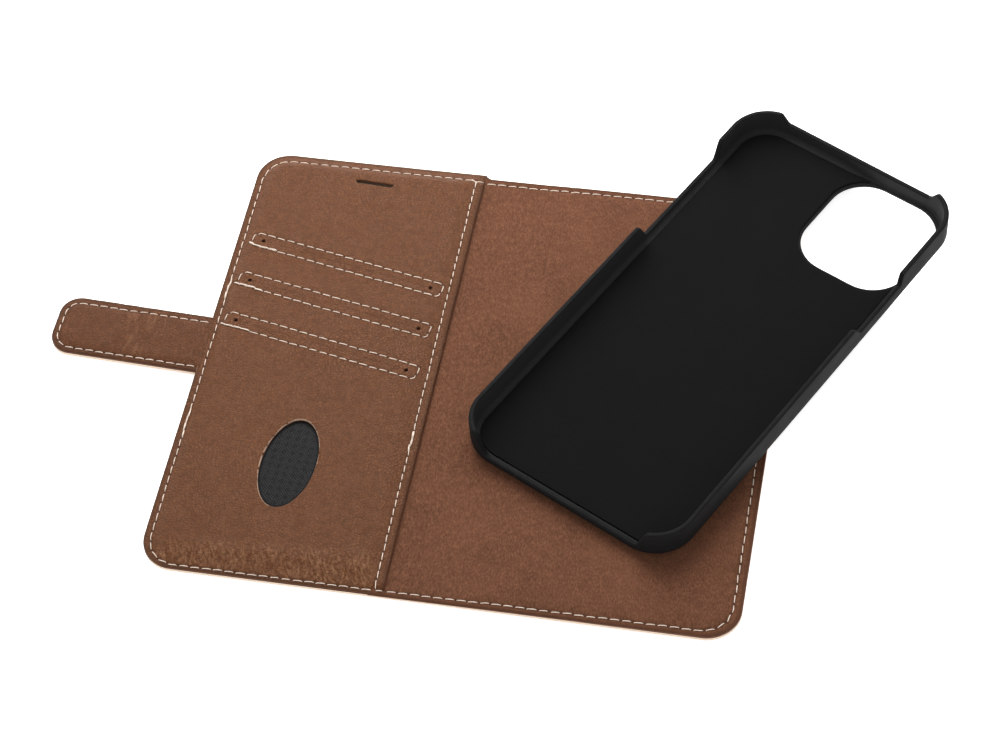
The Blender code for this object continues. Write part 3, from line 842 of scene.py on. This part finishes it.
def foot_wrinkles(x, y):
    """How strongly the leather gathers along its foot, from 0 to 1, and the wrinkles themselves."""
    foot = smooth(-y + 0.06 * (x - INNER[0]), 66.5, 73.0) * smooth(y, -76.6, -75.4)
    foot = foot * smooth(x, INNER[0] + 2, INNER[0] + 6) * smooth(-x, -INNER[1] + 3, -INNER[1] + 5)
    ripple = noise(x + 0.35 * y + 0.8 * noise(x, y, 4, 8), 0.4 * y, 0.4, 6) + 0.6 * noise(x, y * 0.8, 0.6, 7)
    return foot, ripple


def inner_painted_light_and_shade(points):
    foot, ripple = foot_wrinkles(*points.T)
    # Painted highlight over the gathered foot, paler on the wrinkles' crests, with painted shade in their
    # troughs.
    foot_painted_light = foot * (0.14 + np.where(ripple > 0, 0.62, 0.3) * ripple)
    return edge_and_seam_painted_shade(points, inner_ring, INNER_SEAMS) + foot_painted_light


def inner_leather():
    grid = lattice(*INNER[:4], 1.0, 2)
    foot = lattice(INNER[0], INNER[1], -76.5, -66, 0.22, 3)
    bands = [seam.rows(np.linspace(-1.0, 1.0, 9), 0.5) for seam in SLOT_SEAMS]
    obj = slab(
        "inner_leather_panel",
        [inner_ring, *[slot_ring(index) for index in range(3)], earpiece_ring, window_ring],
        np.concatenate([grid, foot, offsets_round(INNER_SEAM), offsets_round(SPINE_SIDE_SEAM), *bands]),
        inner_height,
        lambda points, distance: np.minimum(inner_base(distance), inner_height(points, distance) - 0.6),
        ((0.45, 0.05, 0.05, 0.05, 0.28, 0.4), 0.05),
        [TAN_LEATHER, CUT_EDGE_AND_HIGHLIGHT, EDGE_PAINT, POCKET_CLOTH],
        # The rims by the strap and on the earpiece's lower lip are painted highlights in the cut edge's
        # colour.
        rims=(strap_edge_highlight, no_rim, no_rim, no_rim, earpiece_lip_highlight, window_lip),
    )
    # Painted light and shade on the panel: on the foot's wrinkles, along its edge and in its seams.
    paint_light_and_shade(obj, inner_painted_light_and_shade)
    settle(obj, "front_cover", "inner_leather", "front_inner_leather")


def strap_edge_highlight(points):
    """The width of a painted highlight, in the cut edge's colour, along the panel's rounded edge where it
    lies over the strap.
    """
    x, y = points.T
    return np.where((x < INNER[0] + 1.5) & (np.abs(y - STRAP_ROOT_Y) < STRAP_WIDTH / 2), 0.29, 0.0)


def no_rim(points):
    return np.zeros(len(points))


def earpiece_lip_highlight(points):
    """The earpiece slot's lower lip in the cut edge's colour: partly its cut edge, partly a painted highlight
    where the lip catches the light.
    """
    x, y, _, _, angle = EARPIECE
    below = (points[:, 1] - y) - (points[:, 0] - x) * math.tan(angle) < 0.2
    return np.where(below, 0.15, 0.0)


def window_lip(points):
    """The window's cut edge, which turns up along its upper left side."""
    x, y = WINDOW[:2]
    turn = np.degrees(np.arctan2((points[:, 1] - y) / WINDOW[3], (points[:, 0] - x) / WINDOW[2]))
    return np.where((turn > 0) | (turn < -105), 0.29, 0.15)


def inner_base(distance):
    """The inner leather's underside, which drops to the outer leather round the three sewn sides."""
    return SHEET_JOIN + (INNER[4] - SHEET_JOIN) * smooth(distance, 2.6, 3.6)


def front_stitches():
    corner = Seam([(INNER[1] - 4.6, TOP_Y - 1.5), (INNER[1] - 2.2, TOP_Y - 3.3)], 2.9, 0.0)
    left_edge = [(INNER_SEAM, *INNER_SEAM.stretch(*part)) for part in ((20, 26), (-33, -24))]
    spine_side = [(SPINE_SIDE_SEAM, *SPINE_SIDE_SEAM.stretch(-28, -22))]
    lower_left = [(seam, 0.6, 10.5) for seam in SLOT_SEAMS]
    for name, seams, backtacks, nodes in (
        ("front_edge_stitches", [INNER_SEAM], left_edge, ["front_edge_thread"]),
        ("spine_side_stitches", [SPINE_SIDE_SEAM, corner], spine_side, ["front_spine_side_thread"]),
        ("slot_stitches", SLOT_SEAMS, lower_left, SLOT_NODES),
    ):
        obj = stitches(name, seams, inner_height, backtacks=backtacks)
        settle(obj, "front_cover", "thread", *nodes)


# ---- lining and outer leather


def lining_ring(offset):
    x1 = BACK[1] + RIGHT_GROWTH - offset
    outline = rounded(LINING_EDGE + offset, x1, offset - TOP_Y, TOP_Y - offset, 0, CORNER - offset)
    return divided(outline, 0.8)


LINING_EDGE = MARGIN[0]
LINING_SEAM = cover_seam(INNER[1] + 0.4, BACK[1] - SEAM_INSET, LOW_SEAM_INSET, 0.22)
PLATE_EDGE = span("back_magnet_plate")[0]


def lining_height(points, distance=None):
    """The lining lies on the spine's leather, then steps up onto the back board and over the magnet plate."""
    x, y, distance = placed(points, distance, lining_ring)
    low, high = MARGIN[5], LINING[5]
    on_board = smooth(x, BACK_FOLD - 4, BACK_FOLD + 8)
    z = low + (high - low) * on_board
    z = z - 0.12 * bell(x - PLATE_EDGE, 0.55) + 0.05 * smooth(x, PLATE_EDGE, PLATE_EDGE + 1.5)
    z = z - 0.5 * (1 - smooth(distance, 0.8, 5.0)) * on_board
    return z + 0.05 * noise(x, y, 30, 11) + 0.02 * noise(x, y, 7, 12) - LINING_SEAM.dent(points)


def bend_columns(*ranges):
    """Closely spaced columns of points where a fold or a crease turns the sheet."""
    ys = np.arange(-TOP_Y + 0.9, TOP_Y, 1.6)
    return np.array([(x, y) for x0, x1 in ranges for x in np.arange(x0, x1, 0.45) for y in ys])


FOLD_COLUMNS = bend_columns(*[(fold - 4, fold + 4) for fold in (FRONT_FOLD, BACK_FOLD)])
FRONT_HALF_FOLD = ("front_cover", "spine", FRONT_FOLD - BEND_REACH, FRONT_FOLD + BEND_REACH)
BACK_HALF_FOLD = ("spine", "back_cover", BACK_FOLD - BEND_REACH, BACK_FOLD + BEND_REACH)


def across_folds(whole, slot, front, back):
    """Splits a sheet at the middle of the spine into a front half and a back half."""
    parted(whole, SPINE_MIDDLE, slot, (FRONT_HALF_FOLD, *front), (BACK_HALF_FOLD, *back))


def lining():
    crease = bend_columns((PLATE_EDGE - 1.6, PLATE_EDGE + 1.8))
    grid = lattice(LINING_EDGE, BACK[1], -TOP_Y, TOP_Y, 1.3, 5)
    extra = np.concatenate([grid, FOLD_COLUMNS, crease, offsets_round(LINING_SEAM)])

    def under(points, distance):
        lift = smooth(distance, 2.3, 3.2) * smooth(points[:, 0], BACK_FOLD, BACK_FOLD + 3)
        return SHEET_JOIN + (LINING[4] - SHEET_JOIN) * lift

    materials = [SUEDE, EDGE_PAINT, EDGE_PAINT, SUEDE]
    whole = slab("lining", [lining_ring], extra, lining_height, under, ((0.35,), 0.05), materials)
    # Painted shade along the lining's edge and in its seam.
    paint_light_and_shade(whole, lambda points: edge_and_seam_painted_shade(points, lining_ring, (LINING_SEAM,)))
    front = "lining_front_half", "front_lining_margin", "spine_lining"
    across_folds(whole, "lining", front, ("lining_back_half", "back_lining", "spine_lining"))
    whole = stitches("lining_edge_stitches", [LINING_SEAM], lining_height)
    spine = "spine_thread_top", "spine_thread_bottom"
    back = "back_edge_stitches", "back_edge_thread", *spine
    across_folds(whole, "thread", ("spine_edge_stitches", *spine), back)


def outer_ring(offset):
    """The case's outline, a little taller on the front cover, with a small step at the spine."""
    corner = CORNER - offset
    left = FRONT[0] - LEFT_GROWTH + offset + corner
    right = BACK[1] + RIGHT_GROWTH - offset - corner
    back, high, low = TOP_Y - offset, TOP_Y + TURNED_TOP - offset, TOP_Y + TURNED_LOW - offset
    points = arc((right, back - corner), corner, 0, 90, 12)
    points += [(INNER[1] + 2.0, back), (INNER[1], high)]
    points += arcs(
        ((left, high - corner), corner, 90, 180, 12),
        ((left, corner - low), corner, 180, 270, 12),
        ((right, corner - back), corner, 270, 360, 12),
    )
    return divided(points, 0.8)


OUTER_X = FRONT[0] + SEAM_INSET, BACK[1] - SEAM_INSET
OUTER_LOOP = rounded(*OUTER_X, SEAM_INSET - TOP_Y, TOP_Y - SEAM_INSET, SEAM_CORNER, SEAM_CORNER)
OUTER_SEAM = Seam([*OUTER_LOOP, OUTER_LOOP[0]], STITCH_PITCH, 0.30)


def outer_underside(points, distance=None):
    """The outside of the case, which lies on the table: flat, and drawn up along its seam."""
    x, y = points.T
    grooves = sum(bell(x - fold, 0.9) for fold in (FRONT_FOLD, BACK_FOLD))
    return OUTER_SEAM.dent(points) + 0.10 * grooves + 0.02 * (1 + noise(x, y, 12, 21))


def outer_leather():
    grid = lattice(FRONT[0], BACK[1], -TOP_Y, TOP_Y, 1.6, 7)
    whole = slab(
        "outer_leather",
        [outer_ring, earpiece_ring],
        np.concatenate([grid, FOLD_COLUMNS, offsets_round(OUTER_SEAM)]),
        lambda points, distance: np.full(len(points), FRONT[5]),
        outer_underside,
        ((0.05, 0.05), 0.15),
        OUTER_MATERIALS,
        wall=[(RAW_EDGE, 1)],
    )
    front = "outer_leather_front_half", "front_outer_leather", "spine_outer_leather"
    back = "outer_leather_back_half", "back_outer_leather", "spine_outer_leather"
    across_folds(whole, "outer_leather", front, back)
    whole = stitches("outer_edge_stitches", [OUTER_SEAM], outer_underside, up=-0.3, thickness=0.17)
    across_folds(whole, "thread", ("outer_stitches_front_half",), ("outer_stitches_back_half",))


# ---- thumb window


def window_mesh():
    """Fine woven mesh, domed a little by the cards' pocket behind it."""
    x, y, half_x, half_y, angle = WINDOW
    reach_x, reach_y = half_x + 2.4, half_y + 2.4
    base = span("thumb_window_mesh")
    step = 0.155
    axes = (np.arange(-reach, reach, step) for reach in (reach_x, reach_y))
    u, v = np.meshgrid(*axes, indexing="ij")
    p, q = (math.pi * turn / math.sqrt(2) / WEAVE_PITCH for turn in (u + v, v - u))
    over = np.sin(p) * np.sin(q)
    weave = np.maximum(np.abs(np.cos(p)) * (1 + over), np.abs(np.cos(q)) * (1 - over))
    kept = (u / reach_x) ** 2 + (v / reach_y) ** 2 < 1
    number = -np.ones(u.shape, int)
    number[kept] = np.arange(kept.sum())
    u, v, z = u[kept], v[kept], base[5] - 0.10 + 0.16 * weave[kept]
    flat = turned(np.stack((u, v), axis=1), (x, y), angle)
    vertices = np.concatenate([np.column_stack((flat, level)) for level in (z, np.full(len(z), base[4]))])
    corners = (number[:-1, :-1], number[1:, :-1], number[1:, 1:], number[:-1, 1:])
    cells = np.stack(corners, axis=-1).reshape(-1, 4)
    cells = cells[(cells >= 0).all(axis=1)]
    count = len(flat)
    sides = [pair for cell in cells.tolist() for pair in zip(cell, cell[1:] + cell[:1])]
    known = set(sides)
    rim = [(b, a, a + count, b + count) for a, b in sides if (b, a) not in known]
    faces = [*cells.tolist(), *(cells[:, ::-1] + count).tolist(), *rim]
    depth = z[cells].mean(axis=1) - base[5]
    edge = np.hypot(u / half_x, v / half_y)[cells].mean(axis=1)
    # Painted shade: faces sunk between the threads, and a ring just inside the window's edge for the shadow
    # the leather casts, take the dark cloth.
    dark = (depth < WEAVE_GAP) | (edge > WEAVE_SHADOW)
    slots = [*dark.astype(int).tolist(), *[0] * (len(faces) - len(cells))]
    cloths = [mesh_cloth("mesh_thread", 2.3), mesh_cloth("mesh_gap_painted_shade", 0.12)]
    obj = new_object("thumb_window_weave", vertices, faces, cloths, slots, sharp=80)
    settle(obj, "front_cover", "mesh", "thumb_window_mesh")


def mesh_cloth(name, shade):
    """Black polyester at a given brightness: lighter for the threads, and dark for the painted shade in the
    weave's gaps and round the window's edge.
    """
    return textured(name, scaled((0.009, 0.009, 0.00936), shade), 0.65, **MESH)


# ---- strap


def strap_y(x):
    return STRAP_ROOT_Y + (x - STRAP_ROOT_FOLD[0]) * STRAP_SLANT


def slanted(points):
    points = np.array(points, float)
    points[:, 1] += strap_y(points[:, 0])
    return points


def strap_ring(offset):
    half = STRAP_WIDTH / 2 - offset
    outline = rounded(STRAP_TIP[0] + offset, STRAP_END - offset, -half, half, STRAP_CORNER - offset, 0)
    return divided(slanted(outline), 0.7)


STRAP_END = FRONT[0] + 1.6
STRAP_MIDDLE = (STRAP_ROOT_FOLD[0] + STRAP_TIP_FOLD[0]) / 2


def strap_seam(depth):
    half, corner = STRAP_WIDTH / 2 - SEAM_INSET, STRAP_CORNER - SEAM_INSET
    points = three_sides(STRAP_ROOT_FOLD[0], STRAP_TIP[0] + SEAM_INSET, -half, half, corner, 8)
    return Seam(slanted(points) + np.array((0.0, STRAP_SEAM_SHIFT)), 3.2, depth)


STRAP_SEAM = strap_seam(0.24)
STRAP_LOWER_SEAM = strap_seam(0.3)


def strap_top(points, distance=None):
    """The strap's inner leather, which wrinkles across where it bends round the closed case."""
    x, y, distance = placed(points, distance, strap_ring)
    z = EDGE_TOP + (STRAP_SIDE[5] - EDGE_TOP + 0.12) * smooth(distance, 0.3, 4.5)
    bend, wave = strap_wrinkles(x, y)
    z = z + 0.05 * noise(x, y, 8, 31) + 0.16 * bend * wave * smooth(distance, 1.5, 3.5)
    return z - STRAP_SEAM.dent(points)


def strap_wrinkles(x, y):
    """How strongly the strap wrinkles, from 0 to 1, and the wrinkles across it."""
    return bell(x + 152.5, 8.0), noise(x + 1.2 * noise(x, y, 5, 33), y * 0.22, 0.9, 32)


def strap_painted_light_and_shade(points):
    bend, wave = strap_wrinkles(*points.T)
    # Painted highlight on the crests of the strap's wrinkles and painted shade in their troughs, with painted
    # shade along its edge and seam.
    return bend * (0.06 + 0.6 * wave * np.abs(wave)) + edge_and_seam_painted_shade(points, strap_ring, (STRAP_SEAM,))


def strap_underside(points, distance=None):
    return STRAP_LOWER_SEAM.dent(points) + 0.02


def strap():
    grid = lattice(STRAP_TIP[0], STRAP_END, -14, 16, 0.75, 9)
    wrinkles = lattice(-160, -136, -12, 14, 0.4, 10)
    extra = np.concatenate([grid, wrinkles, offsets_round(STRAP_SEAM)])

    def split_level(points, distance):
        return SHEET_JOIN + 0.45 * smooth(distance, 2.4, 3.2)

    def outer_top(points, distance):
        return 1.24 - 0.38 * smooth(distance, 2.4, 3.2)

    inner = slab(
        "strap_inner_leather", [strap_ring], extra, strap_top, split_level, ((0.45,), 0.05),
        [STRAP_LEATHER, EDGE_PAINT, EDGE_PAINT, STRAP_LEATHER],
    )
    # Painted light and shade on the strap's wrinkles, edge and seam.
    paint_light_and_shade(inner, strap_painted_light_and_shade)
    outer = slab(
        "strap_outer_leather", [strap_ring], extra, outer_top, strap_underside, ((0.05,), 0.15),
        OUTER_MATERIALS, wall=[(RAW_EDGE, 1)],
    )
    thread = stitches("strap_stitches", [STRAP_SEAM], strap_top)
    seams = [STRAP_LOWER_SEAM]
    low_thread = stitches("strap_outer_stitches", seams, strap_underside, up=-0.3, thickness=0.17)
    side_threads = ["strap_side_thread_upper", "strap_side_thread_lower"]
    tip_fold = ("strap_side", "strap_tip", STRAP_TIP_FOLD[0] + 2.9, STRAP_TIP_FOLD[0] - 2.9)
    root_fold = ("front_cover", "strap_side", FRONT[0] - 0.3, STRAP_ROOT_FOLD[0] - 4.2)
    for whole, slot, tip_nodes, root_nodes in (
        (inner, "strap_leather", ["strap_tip_inner_leather"], ["strap_side_inner_leather"]),
        (outer, "strap_leather", ["strap_tip_outer_leather"], ["strap_side_outer_leather"]),
        (thread, "thread", ["strap_tip_thread"], side_threads),
        (low_thread, "thread", [], []),
    ):
        tip, root = (f"{whole.name}_{end}" for end in ("tip", "root"))
        parted(whole, STRAP_MIDDLE, slot, (tip_fold, tip, *tip_nodes), (root_fold, root, *root_nodes))


# ---- tray


def tray_line(step=0.6):
    """Points along the tray's outer wall, and their outward normals."""
    flat = [half - TRAY_CORNER for half in TRAY_HALF]
    places, normals = [], []
    for sx, sy, start in ((1, 1, 0), (-1, 1, 90), (-1, -1, 180), (1, -1, 270)):
        centre = np.array((sx * flat[0], sy * flat[1]))
        for angle in np.radians(np.linspace(start, start + 90, 34)):
            normals.append((math.cos(angle), math.sin(angle)))
            places.append(centre + TRAY_CORNER * np.array(normals[-1]))
        side = 2 * flat[start // 90 % 2]
        begin, across = places[-1], np.array((-normals[-1][1], normals[-1][0]))
        count = round(side / step)
        places += [begin + across * side * i / count for i in range(1, count)]
        normals += [normals[-1]] * (count - 1)
    return np.array(places), np.array(normals)


def dip(place, start, end, first=4.2, last=4.2):
    """1 along a low stretch of wall, 0 outside it, with an S-shaped ramp of its own length at each end."""
    down = smooth(place, start - first / 2, start + first / 2)
    return down * smooth(-place, -end - last / 2, -end + last / 2)


def rim_height(places, normals):
    """The height of the tray's wall: high round its corners, low by the buttons and the ports."""
    x, y = places.T
    height = np.full(len(places), TRAY_HEIGHT)
    for facing, along, start, end, low, ramps in (
        (normals[:, 0] < -0.99, y, 15.0, 55.0, 3.4, (4.2, 4.2)),
        (normals[:, 0] > 0.99, y, 18.8, 42.7, 5.7, (4.2, 1.4)),
        (normals[:, 1] > 0.6, x, -26.6, 27.9, 6.0 - 0.02 * x, (3.2, 4.2)),
        (normals[:, 1] < -0.6, x, -28.0, 28.6, 3.3, (6.5, 4.2)),
    ):
        height = height - np.where(facing, (TRAY_HEIGHT - low) * dip(along, start, end, *ramps), 0)
    return height


def fillet_radius(places):
    """The inner fillet, which narrows beside the camera's cut-out."""
    x, y = places.T
    near = smooth(x, -7, 6) * smooth(y, 30, 43)
    return TRAY_FILLET + (0.5 - TRAY_FILLET) * near


def camera_ring(offset):
    x0, x1, y0, y1 = CAMERA_HOLE
    corner = CAMERA_CORNER + offset
    return divided(rounded(x0 - offset, x1 + offset, y0 - offset, y1 + offset, corner, corner, 14), 1.0)


def quarter(count):
    """(1 - sine, 1 - cosine) of count angles from 0 to 90 degrees."""
    return [(1 - math.sin(a), 1 - math.cos(a)) for a in np.radians(np.linspace(0, 90, count))]


def tray():
    """The shell: its wall's profile swept round, then the floor's two faces and the camera's cut-out."""
    places, normals = tray_line()
    height = rim_height(places, normals)
    inner = np.minimum(fillet_radius(places), height - 0.45 - TRAY_FLOOR)
    foot, lip, top = TRAY_FOOT, TRAY_LIP, height - TRAY_LIP
    profile = [(-foot * s, foot * c) for s, c in quarter(8)]
    profile += [(0.0, foot + (height - 0.4 - foot) * share) for share in (0.33, 0.66)]
    profile += [(-lip * c, height - lip * s) for s, c in quarter(5)]
    profile += [(lip * s - TRAY_WALL, height - lip * c) for s, c in quarter(5)]
    profile += [(-TRAY_WALL, top + (TRAY_FLOOR + inner - top) * share) for share in (0.35, 0.7)]
    profile += [(-TRAY_WALL - inner * c, TRAY_FLOOR + inner * s) for s, c in quarter(8)]
    count = len(places)
    vertices, hoops = [], []
    for out, z in profile:
        hoops.append(list(range(len(vertices), len(vertices) + count)))
        row = places + normals * np.reshape(out, (-1, 1))
        vertices += list(np.column_stack((row, np.broadcast_to(z, count))))
    faces = [face for one, other in zip(hoops, hoops[1:]) for face in strip(one, other)]
    walled = len(faces)
    holes = []
    for ring, z in ((hoops[-1], TRAY_FLOOR), (hoops[0], 0.0)):
        outline = np.array([vertices[i][:2] for i in ring])
        grid = lattice(-TRAY_HALF[0], TRAY_HALF[0], -TRAY_HALF[1], TRAY_HALF[1], 4.0, 12)
        points, triangles, rings = triangulated([outline, camera_ring(CAMERA_EDGE)], grid)
        number = dict(zip(rings[0], ring))
        for i, point in enumerate(points):
            if i not in number:
                number[i] = len(vertices)
                vertices.append((*point, z))
        faces += [tuple(number[i] for i in face) for face in triangles.tolist()]
        holes.append([number[i] for i in rings[1]])
    above, lower = holes
    sections = [
        (CAMERA_EDGE * (1 - math.sin(a)), TRAY_FLOOR - CAMERA_EDGE * (1 - math.cos(a)))
        for a in (0.4, 0.8, 1.2, math.pi / 2)
    ]
    sections += [(offset, TRAY_FLOOR - z) for offset, z in sections[::-1]]
    for offset, z in sections:
        row = list(range(len(vertices), len(vertices) + len(above)))
        vertices += [(*p, z) for p in camera_ring(offset)][: len(above)]
        faces += strip(above, row)
        above = row
    faces += strip(above, lower)
    # Rim tops take the painted-shade copy of the plastic, and the inner walls and fillet the painted-light
    # copy.
    slots = np.zeros(len(faces), int)
    slots[RIM_ROWS[0] * count : RIM_ROWS[1] * count] = 1
    slots[RIM_ROWS[1] * count : walled] = 2
    obj = new_object("tray_moulding", vertices, faces, [TRAY_PLASTIC, TRAY_RIM_PAINTED_SHADE, TRAY_INSIDE_PAINTED_LIGHT], slots, sharp=50)
    place_tray(obj, "tray_shell", "tray_plastic")
    tray_lining()


def place_tray(obj, node, slot):
    """Turns a piece made in the tray's own frame to where the tray lies."""
    place = (*TRAY_CENTRE, span("tray_shell")[4])
    obj.data.transform(Matrix.Translation(Vector(place) * MM) @ Matrix.Rotation(TRAY_TURN, 4, "Z"))
    settle(obj, "tray", slot, node)


def tray_lining():
    """The thin lining on the tray's floor, cut away round the camera's cut-out."""
    inset = TRAY_WALL + 1.4
    x, y = TRAY_HALF[0] - inset, TRAY_HALF[1] - inset
    corner = TRAY_CORNER - inset
    left, far, low, high = (v + CAMERA_CORNER * s for v, s in zip(CAMERA_HOLE, (1, -1, 1, -1)))
    base = 1.3

    def ring(offset):
        right, top, bend = x - offset, y - offset, corner - offset
        radius = CAMERA_CORNER + 0.8 + offset
        from_right = 360 - math.degrees(math.acos((right - far) / radius))
        to_top = 180 - math.degrees(math.asin((top - high) / radius))
        points = arcs(
            ((bend - right, top - bend), bend, 90, 180, 12),
            ((bend - right, bend - top), bend, 180, 270, 12),
            ((right - bend, bend - top), bend, 270, 360, 12),
            ((far, low), radius, from_right, 270, 8),
            ((left, low), radius, 270, 180, 14),
            ((left, high), radius, 180, to_top, 8),
        )
        return divided(points, 1.2)

    obj = slab(
        "tray_lining_felt", [ring], lattice(-x, x, -y, y, 3.0, 13),
        lambda points, distance: np.full(len(points), base + 0.4),
        lambda points, distance: np.full(len(points), base),
        ((0.18,), 0.02), [TRAY_FELT] * 4,
    )
    place_tray(obj, "tray_floor_lining", "tray_lining")


# ---- hidden CAD pieces


def dress_hidden_nodes():
    for material, nodes in (
        (BOARD, ("back_board", "front_board", "strap_side_filler")),
        (MAGNET, ("back_magnet_plate", "strap_clasp_magnet")),
        (STRAP_LEATHER, ("strap_anchor_tab",)),
        (POCKET_BACK, ("pocket_lining_top",)),
        (POCKET_CLOTH, ("pocket_lining_middle", "pocket_lining_bottom")),
        (STEEL, ("tray_steel_sheet",)),
    ):
        for slot in (s for node in nodes for s in frame["nodes"][node].material_slots):
            slot.material = material


# ---- studio


def studio():
    scene = bpy.context.scene
    scene.view_settings.view_transform = "Standard"
    world = bpy.data.worlds.new("studio")
    world.use_nodes = True
    tree = world.node_tree
    where = add(tree, "TexCoord").outputs["Generated"]
    height = add(tree, "SeparateXYZ", links={"Vector": where}).outputs["Z"]
    sky = ramp(tree, height, [(0.0, (1, 1, 1)), (1.0, (0.12, 0.12, 0.12))])
    background = tree.nodes["Background"]
    tree.links.new(sky, background.inputs["Color"])
    background.inputs["Strength"].default_value = 1.2
    scene.world = world
    bpy.ops.mesh.primitive_plane_add(size=6.0, location=(0, 0, -0.0001))
    floor = bpy.context.object
    floor.name = "studio_floor"
    material, _, principled = shader("floor", (0.93, 0.93, 0.93), 0.9, Specular_IOR_Level=0.1)
    principled.inputs["Emission Color"].default_value = (1, 1, 1, 1)
    principled.inputs["Emission Strength"].default_value = 0.7
    floor.data.materials.append(material)
    lamp("key", (-0.12, 0.29, 0.34), 0.5, 3.4)
    lamp("overhead", (-0.05, -0.05, 1.0), 0.6, 0.6)
    lamp("fill", (0.1, -1.1, 0.8), 1.0, 3.0)


def lamp(name, place, size, power):
    light = bpy.data.lights.new(name, "AREA")
    light.shape = "DISK"
    light.size = size
    light.energy = power
    obj = bpy.data.objects.new(name, light)
    obj.location = place
    obj.rotation_mode = "QUATERNION"
    obj.rotation_quaternion = (Vector(place)).to_track_quat("Z", "Y")
    bpy.context.scene.collection.objects.link(obj)


def camera():
    data = bpy.data.cameras.new("camera")
    data.lens = 97.5
    data.sensor_width = 36
    data.clip_end = 20
    obj = bpy.data.objects.new("camera", data)
    place = Matrix.Translation((0.08065, -0.4678, 0.6333))
    for angle, axis in ((14.56, "Z"), (37.59, "X"), (-5.14, "Z")):
        place = place @ Matrix.Rotation(math.radians(angle), 4, axis)
    obj.matrix_world = place
    bpy.context.scene.collection.objects.link(obj)
    bpy.context.scene.camera = obj


inner_leather()
front_stitches()
lining()
outer_leather()
window_mesh()
strap()
tray()
dress_hidden_nodes()
studio()
camera()
